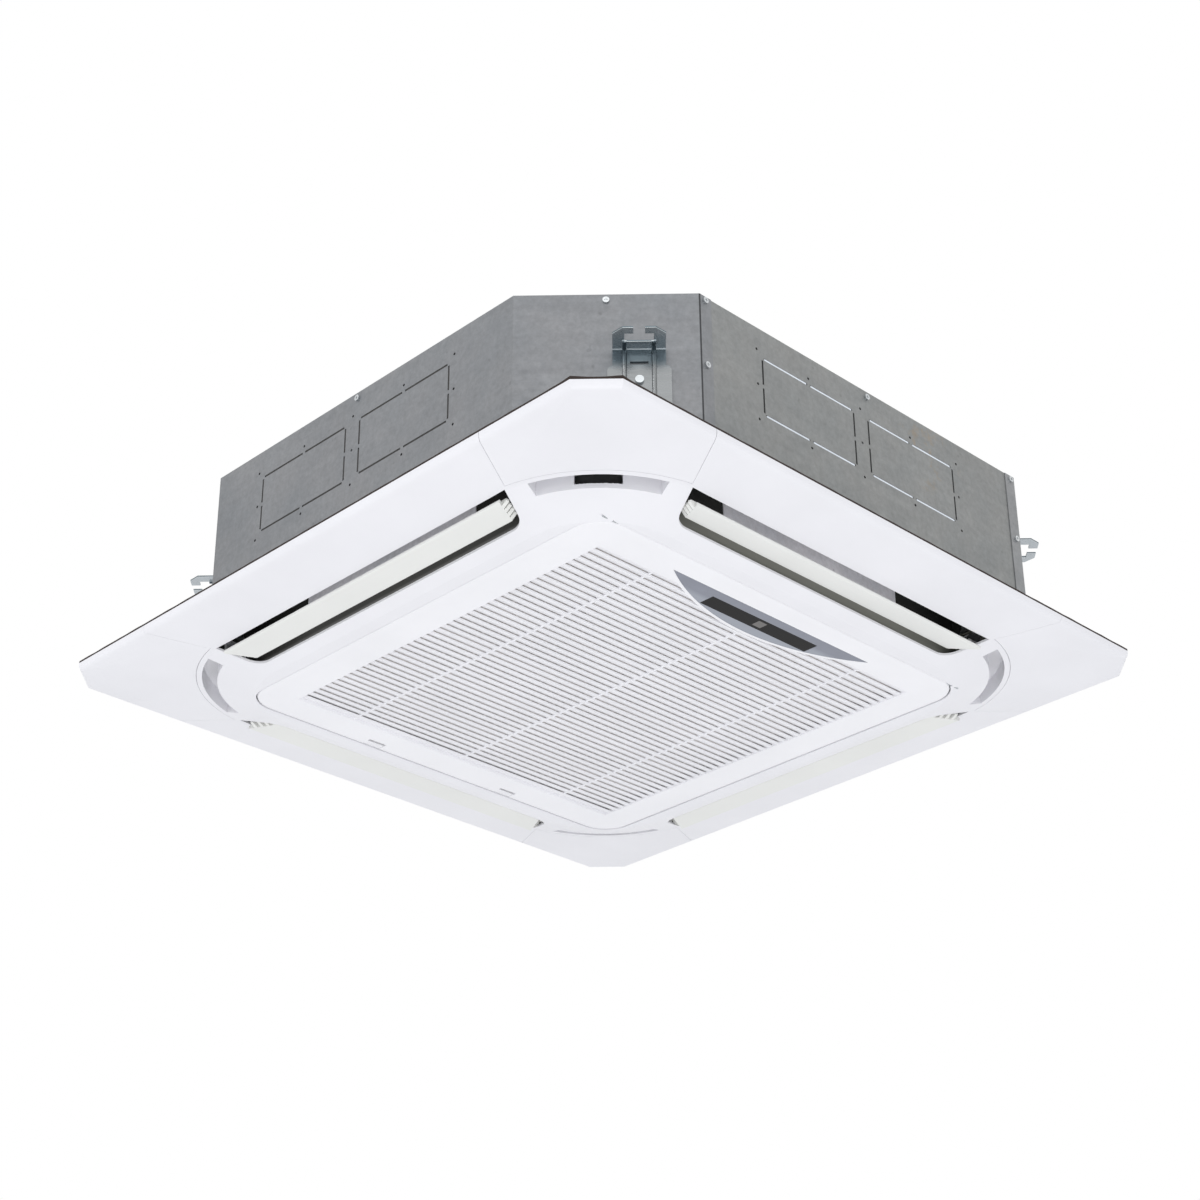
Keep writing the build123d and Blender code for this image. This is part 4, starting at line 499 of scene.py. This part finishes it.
def net(name, colour):
    """Filter net: crossing bands of threads."""
    material, tree, shader = new_material(name)
    warp, weft = (waves(tree, axis, scale=22.727) for axis in ("X", "Y"))
    weave = maths(tree, "MAXIMUM", warp, weft)
    tone = ramp(tree, weave, (0.75, shade(colour, 0.7)), (0.95, colour))
    tree.links.new(tone, shader.inputs["Base Color"])
    shader.inputs["Roughness"].default_value = 0.8
    bump(tree, shader, weave, strength=0.6, distance=0.3 * MM)
    return material


# one material for each of the record's material slots
MATERIALS = {
    "fascia_white": moulded("fascia_plastic", (0.86, 0.855, 0.885)),
    # grille plastic paler than the fascia's: painted light between the louvres
    "grille_white": moulded("grille_plastic_painted_bright", (0.91, 0.905, 0.93)),
    "vane_white": moulded("vane_plastic", (0.83, 0.832, 0.805), rough=0.38),
    "liner_dark": moulded("liner_plastic", (0.055, 0.055, 0.052), rough=0.6),
    "lens_grey": glossy("lens_plastic", (0.22, 0.232, 0.28), inner=(0.31, 0.33, 0.38)),
    "window_dark": glossy("window_plastic", (0.010, 0.009, 0.009), rough=0.12, coat=0.0,
                          gloss=0.12),
    "receiver_smoke": glossy("receiver_plastic", (0.14, 0.13, 0.125), rough=0.2, coat=0.0),
    "filter_grey": moulded("filter_plastic", (0.88, 0.86, 0.84)),
    "filter_net": net("filter_weave", (0.88, 0.85, 0.82)),
    "galvanised": galvanised("galvanised_sheet", (0.29, 0.295, 0.305)),
    "zinc_bracket": galvanised(
        "bracket_zinc", (0.125, 0.155, 0.175), metal=0.9, rough=0.27, spangle=140.0,
        foot=HANGER_FOOT, lines=[("Z", HANGER_FOLD_Z, HANGER_FOLD_HALF, FOLD_GLINT)],
    ),
    "zinc_screw": galvanised("screw_zinc", (0.60, 0.62, 0.64), metal=0.95, rough=0.25,
                             spangle=300.0),
    "foam_white": foam("bead_foam", (0.86, 0.88, 0.90)),
    "foam_black": foam("seal_foam", (0.012, 0.012, 0.012), cell=900.0, depth=0.3 * MM),
    "coil_fins": finned("coil_fin_stack", (0.62, 0.64, 0.66)),
    "copper": galvanised("copper_tube", (0.66, 0.30, 0.17), metal=1.0, rough=0.3, spangle=200.0),
    "brass_nut": galvanised("brass_forging", (0.66, 0.48, 0.20), metal=1.0, rough=0.34,
                            spangle=260.0),
    "motor_grey": moulded("motor_paint", (0.085, 0.088, 0.095), rough=0.5),
    "fan_plastic": moulded("fan_plastic", (0.045, 0.047, 0.05), rough=0.5),
    "pump_plastic": moulded("pump_plastic", (0.60, 0.60, 0.57), rough=0.45),
    "bush_grey": moulded("bushing_plastic", (0.30, 0.30, 0.28), rough=0.5),
}

# nodes whose material differs from the rest of their slot, some by painted light or shade
NODE_MATERIALS = {
    # front sheet: a rust stain, and a dark line at the flange's end that is painted shadow
    "case_front": galvanised(
        "front_sheet", (0.27, 0.275, 0.275), stain=True,
        lines=[("X", LAP_END_X, LAP_END_HALF, LAP_END_PAINTED_SHADOW)],
    ),
    # left sheet: darker than the other sheets, painted shade, with a dark line at the lap's fold
    # that is painted shadow
    "case_wrap_left": galvanised(
        "left_sheet_painted_shade", (0.25, 0.256, 0.27),
        lines=[("X", LAP_FOLD_X, LAP_FOLD_HALF, LAP_FOLD_PAINTED_SHADOW)],
    ),
    "drain_pan": foam("pan_foam", (0.02, 0.02, 0.019), cell=600.0),
    # duct sheet pale and hardly metallic: painted light inside the duct
    "duct_plates": galvanised("duct_sheet_painted_light", (0.84, 0.83, 0.90), metal=0.1, rough=0.5),
    # the front liner is paler and the left one darker than the slot's liner: painted light and
    # painted shade; the left one's paler lip is a painted reflection
    "outlet_liner_front": moulded("front_liner_painted_light", (0.17, 0.17, 0.15), rough=0.55),
    "outlet_liner_left": moulded("left_liner_painted_shade", (0.035, 0.035, 0.032), rough=0.55,
                                 lip=(0.2, 0.2, 0.19)),
}


def dress_nodes():
    slots = {part["node"]: part["material_slot"] for part in frame["record"]["subparts"]}
    for name, node in nodes.items():
        material = NODE_MATERIALS.get(name) or MATERIALS[slots[name]]
        if not node.material_slots:
            node.data.materials.append(material)
        for entry in node.material_slots:
            entry.material = material


# ---------------------------------------------------------------------------
# small pieces, all riding on the unit
# ---------------------------------------------------------------------------
def ride_unit(name, mesh, material):
    """Object made of a finished mesh, carried by the unit."""
    mesh.materials.append(material)
    piece = bpy.data.objects.new(name, mesh)
    bpy.context.scene.collection.objects.link(piece)
    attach(piece, UNIT)


def add_piece(name, points, faces, material, smooth=False):
    """Mesh piece with its normals turned outwards."""
    mesh = bpy.data.meshes.new(name)
    mesh.from_pydata(points, [], faces)
    mesh.validate()
    shape = bmesh.new()
    shape.from_mesh(mesh)
    bmesh.ops.recalc_face_normals(shape, faces=shape.faces)
    shape.to_mesh(mesh)
    shape.free()
    mesh.polygons.foreach_set("use_smooth", [smooth] * len(mesh.polygons))
    ride_unit(name, mesh, material)


def sides(first, count, rings, closed=False):
    """Faces between rings of count points each, which follow one another from index first."""
    faces = []
    for ring in range(rings if closed else rings - 1):
        here = first + ring * count
        there = first + (ring + 1) % rings * count
        for step in range(count):
            after = (step + 1) % count
            faces.append((here + step, here + after, there + after, there + step))
    return faces


def ends(first, count, rings):
    """Faces that close the first and the last ring."""
    last = first + (rings - 1) * count
    return [tuple(range(first, first + count)), tuple(reversed(range(last, last + count)))]


# --- foam gasket on the top of the fascia's rim ------------------------------
PANEL_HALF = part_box("panel_frame")[1][0]
CORNER_LEG = 38 * MM
RIM_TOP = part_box("corner_cover_near")[1][2]
GASKET_STEP = 6 * MM
# inset from the rim's edge and height over it, in millimetres
GASKET_SECTION = ((0.3, -0.2), (0.0, 0.9), (0.1, 2.3), (0.6, 3.1),
                  (1.5, 3.4), (2.4, 3.1), (2.9, 2.0), (2.8, -0.2))
GASKET_WAVE = 0.25 * MM
WAVE_FAST = 0.9  # radians for each step round the rim
WAVE_SLOW = 0.23
WAVE_START = 1
GASKET_BULGE = 1.6 * MM
BULGE_REACH = 16 * MM
NEAR_KINKS = slice(5, 7)  # the two rim corners beside the near chamfer


def rim_corners(inset):
    side = PANEL_HALF - inset
    leg = side - CORNER_LEG + inset * (2 - ROOT2)
    return [(side, -leg), (side, leg), (leg, side), (-leg, side),
            (-side, leg), (-side, -leg), (-leg, -side), (leg, -side)]


def rim_edges(inset):
    """Pairs of neighbouring rim corners."""
    corners = rim_corners(inset)
    return list(zip(corners, corners[1:] + corners[:1]))


def rim_ring(inset, height, counts):
    """Points round the rim at an inset, wavy in height by the same pattern in every ring."""
    kinks = rim_corners(inset)[NEAR_KINKS]
    ring = []
    for ((ax, ay), (bx, by)), count in zip(rim_edges(inset), counts):
        for step in range(count):
            share = step / count
            x, y = ax + (bx - ax) * share, ay + (by - ay) * share
            index = len(ring)
            wave = math.sin(index * WAVE_FAST) * math.sin(index * WAVE_SLOW + WAVE_START)
            z = RIM_TOP + height + GASKET_WAVE * wave
            if height > 0:
                near_kink = min(math.hypot(x - kx, y - ky) for kx, ky in kinks)
                z += GASKET_BULGE * max(0.0, 1 - near_kink / BULGE_REACH)
            ring.append((x, y, z))
    return ring


def add_gasket(material):
    counts = [round(math.hypot(bx - ax, by - ay) / GASKET_STEP)
              for (ax, ay), (bx, by) in rim_edges(0)]
    rings = [rim_ring(inset * MM, height * MM, counts) for inset, height in GASKET_SECTION]
    points = [point for ring in rings for point in ring]
    faces = sides(0, sum(counts), len(rings), closed=True)
    add_piece("rim_gasket", points, faces, material, smooth=True)


# --- strips behind the knock-out slits and the pilot holes, painted shadow and reflection ---
KNOCKOUT = (157 * MM, 75 * MM)  # width and height
KNOCKOUT_PITCH = 183 * MM
KNOCKOUT_Z = 175 * MM
FRONT_SHIFT = -4 * MM  # of the front pair, from the casing's middle
CASE_LOW, CASE_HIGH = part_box("top_plate")
CASE_X = (CASE_LOW[0] + CASE_HIGH[0]) / 2
CASE_Y = (CASE_LOW[1] + CASE_HIGH[1]) / 2

# dark strips behind the slits and holes are painted shadow, pale ones a painted reflection
PAINTED_BACK_DEPTHS = (1.1 * MM, 1.45 * MM)  # from the sheet's outer face
PAINTED_BACK_WIDTH = 5 * MM
PAINTED_BACK_BREAK = 9 * MM
# strips just inside the slits, which widen their painted shadow or painted reflection
PAINTED_EDGE_DEPTHS = (0.25 * MM, 0.65 * MM)
PAINTED_EDGE_WIDTH = 2.3 * MM
PAINTED_EDGE_BREAK = 7.5 * MM
PILOT_OFFSET = 9 * MM
HOLE_SHADOW_SIZE = (6 * MM, 6 * MM)
STRIP_CUT = 0.4  # share of a strip's half width that its corners lose


def on_left(a, b, depth):
    return (LEFT_X + depth, CASE_Y - a, KNOCKOUT_Z + b)


def on_front(a, b, depth):
    return (CASE_X + FRONT_SHIFT + a, FRONT_Y + depth, KNOCKOUT_Z + b)


SHEETS = {"left": on_left, "front": on_front}


def strip_outline(centre, size):
    """Rectangle with cut corners."""
    half_w, half_h = size[0] / 2, size[1] / 2
    cut = min(half_w, half_h) * STRIP_CUT
    w, h = half_w - cut, half_h - cut
    outline = [(half_w, h), (w, half_h), (-w, half_h), (-half_w, h),
               (-half_w, -h), (-w, -half_h), (w, -half_h), (half_w, -h)]
    return [(centre[0] + a, centre[1] + b) for a, b in outline]


def add_strips(name, to_world, strips, depths, material):
    """Thin strips in a sheet's own plane, joined in one piece."""
    points, faces = [], []
    for centre, size in strips:
        first = len(points)
        outline = strip_outline(centre, size)
        points += [to_world(a, b, depth) for depth in depths for a, b in outline]
        faces += ends(first, len(outline), 2) + sides(first, len(outline), 2)
    add_piece(name, points, faces, material)


def slit_strips(direction, width, gap, parts):
    """Centre and size of the strips along the upright or the level slits of both knock-outs."""
    upright = direction == "upright"
    across, length = KNOCKOUT if upright else reversed(KNOCKOUT)
    run = length / parts - gap
    strips = []
    for knockout in (-1, 1):
        shift = knockout * KNOCKOUT_PITCH / 2
        for edge in (-across / 2, across / 2):
            for part in range(parts):
                middle = length * ((part + 0.5) / parts - 0.5)
                if upright:
                    strips.append(((shift + edge, middle), (width, run)))
                else:
                    strips.append(((shift + middle, edge), (run, width)))
    return strips


def add_slit_painted_backs(dark, bright):
    """Dark strips behind the slits as painted shadow; pale strips in the level slits of the front
    sheet as a painted reflection.
    """
    for face, to_world in SHEETS.items():
        for direction, parts in (("upright", 1), ("level", 2)):
            strips = slit_strips(direction, PAINTED_BACK_WIDTH, PAINTED_BACK_BREAK, parts)
            material, slot = dark, "foam_black"
            if (face, direction) == ("front", "level"):
                material, slot = bright, "foam_white"
            add_strips(f"slit_painted_back_{face}_{direction}", to_world, strips, PAINTED_BACK_DEPTHS,
                       material)


def add_slit_painted_edges(face, direction, material):
    """Strips inside the upright or the level slits of a sheet, widening the slits' painted shadow
    or, when pale, their painted reflection.
    """
    strips = slit_strips(direction, PAINTED_EDGE_WIDTH, PAINTED_EDGE_BREAK, parts=2)
    add_strips(f"slit_painted_edges_{face}_{direction}", SHEETS[face], strips, PAINTED_EDGE_DEPTHS, material)


# dark squares behind the pilot holes: painted shadow
def add_pilot_hole_shadows(material):
    width, height = KNOCKOUT
    row = height / 2 + PILOT_OFFSET
    column = KNOCKOUT_PITCH / 2 + width / 2 + PILOT_OFFSET
    places = [(a * KNOCKOUT_PITCH / 2, b * row) for a in (-1, 1) for b in (-1, 1)]
    places += [(a * column, b * row) for a in (-1, 0, 1) for b in (-1, 1)]
    places += [(a * column, 0) for a in (-1, 1)]
    hole_shadows = [(place, HOLE_SHADOW_SIZE) for place in places]
    for face, to_world in SHEETS.items():
        add_strips(f"pilot_hole_shadows_{face}", to_world, hole_shadows, PAINTED_BACK_DEPTHS, material)


# --- corner windows: foam crumbs on the sill and a dark sheet behind, a painted shadow ---
CORNERS = {"near": (-1, -1), "right": (1, -1), "left": (-1, 1), "far": (1, 1)}
CORNER_CENTRE = 230 * MM

SILL_RADIUS = 148.6 * MM
SILL_DEPTH = 1 * MM
SILL_Z = 19.5 * MM
SILL_ANGLE = 9.5  # degrees to either side of the diagonal
CRUMBS = 60
CRUMB_RADII = (0.35 * MM, 1 * MM)
CRUMB_STRETCH = (0.8, 1.3)
CRUMB_LIFT = 0.8  # of its radius over the sill

SHADE_RADIUS = 144 * MM
SHADE_THICKNESS = 0.5 * MM
SHADE_LOW = 20.2 * MM
SHADE_HIGH = 37.4 * MM
SHADE_ANGLE = 9.8
SHADE_STEPS = 14
SHADE_WAVE = 0.2 * MM
SHADE_WAVE_STEP = 1.7  # radians for each step


def round_corner(side_x, side_y, radius, degrees, z):
    """Point about the centre of a corner's arcs, at an angle from its diagonal."""
    angle = math.atan2(side_y, side_x) + math.radians(degrees)
    return (side_x * CORNER_CENTRE + radius * math.cos(angle),
            side_y * CORNER_CENTRE + radius * math.sin(angle), z)


def add_crumbs(name, side_x, side_y, seed, material):
    """White foam crumbs along the lower edge of a corner window."""
    chance = random.Random(seed)
    shape = bmesh.new()
    for _ in range(CRUMBS):
        degrees = chance.uniform(-SILL_ANGLE, SILL_ANGLE)
        radius = SILL_RADIUS - chance.uniform(0, SILL_DEPTH)
        size = chance.uniform(*CRUMB_RADII)
        place = round_corner(side_x, side_y, radius, degrees, SILL_Z + size * CRUMB_LIFT)
        stretch = (chance.uniform(*CRUMB_STRETCH), chance.uniform(*CRUMB_STRETCH), 1.0, 1.0)
        bmesh.ops.create_icosphere(
            shape, subdivisions=1, radius=size,
            matrix=Matrix.Translation(place) @ Matrix.Diagonal(stretch),
        )
    mesh = bpy.data.meshes.new(name)
    shape.to_mesh(mesh)
    shape.free()
    ride_unit(name, mesh, material)


def add_window_shadow_sheet(name, side_x, side_y, material):
    """Curved sheet with a slightly wavy top, a few millimetres behind a corner window; in black
    it is a painted shadow in the window.
    """
    inner = SHADE_RADIUS - SHADE_THICKNESS
    points = []
    for step in range(SHADE_STEPS + 1):
        degrees = SHADE_ANGLE * (2 * step / SHADE_STEPS - 1)
        top = SHADE_HIGH - SHADE_WAVE * math.sin(step * SHADE_WAVE_STEP)
        section = ((SHADE_RADIUS, SHADE_LOW), (SHADE_RADIUS, top), (inner, top),
                   (inner, SHADE_LOW))
        points += [round_corner(side_x, side_y, radius, degrees, z) for radius, z in section]
    faces = sides(0, len(section), SHADE_STEPS + 1) + ends(0, len(section), SHADE_STEPS + 1)
    add_piece(name, points, faces, material)


def add_details():
    # the black foam, a dark foam and a pale glossy material below paint shadow in slits, holes
    # and windows, and a reflection in the front sheet's level slits
    black = MATERIALS["foam_black"]
    gasket = moulded("gasket_foam", (0.035, 0.024, 0.02), rough=0.85, texture=900.0)
    slit_shade = foam("slit_painted_shade", (0.05, 0.047, 0.044), cell=700.0, depth=0.2 * MM)
    slit_reflection = glossy("slit_painted_reflection", (0.80, 0.85, 0.92), rough=0.3)
    add_gasket(gasket)
    add_slit_painted_backs(black, slit_reflection)
    add_slit_painted_edges("front", "level", slit_reflection)
    add_slit_painted_edges("front", "upright", black)
    add_slit_painted_edges("left", "level", slit_shade)
    add_slit_painted_edges("left", "upright", slit_shade)
    add_pilot_hole_shadows(black)
    for seed, (corner, (side_x, side_y)) in enumerate(CORNERS.items()):
        add_crumbs(f"foam_crumbs_{corner}", side_x, side_y, seed, MATERIALS["foam_white"])
        add_window_shadow_sheet(f"window_shadow_sheet_{corner}", side_x, side_y, black)


dress_nodes()
add_details()
add_studio()
add_camera()
bpy.context.scene.view_settings.view_transform = "Standard"
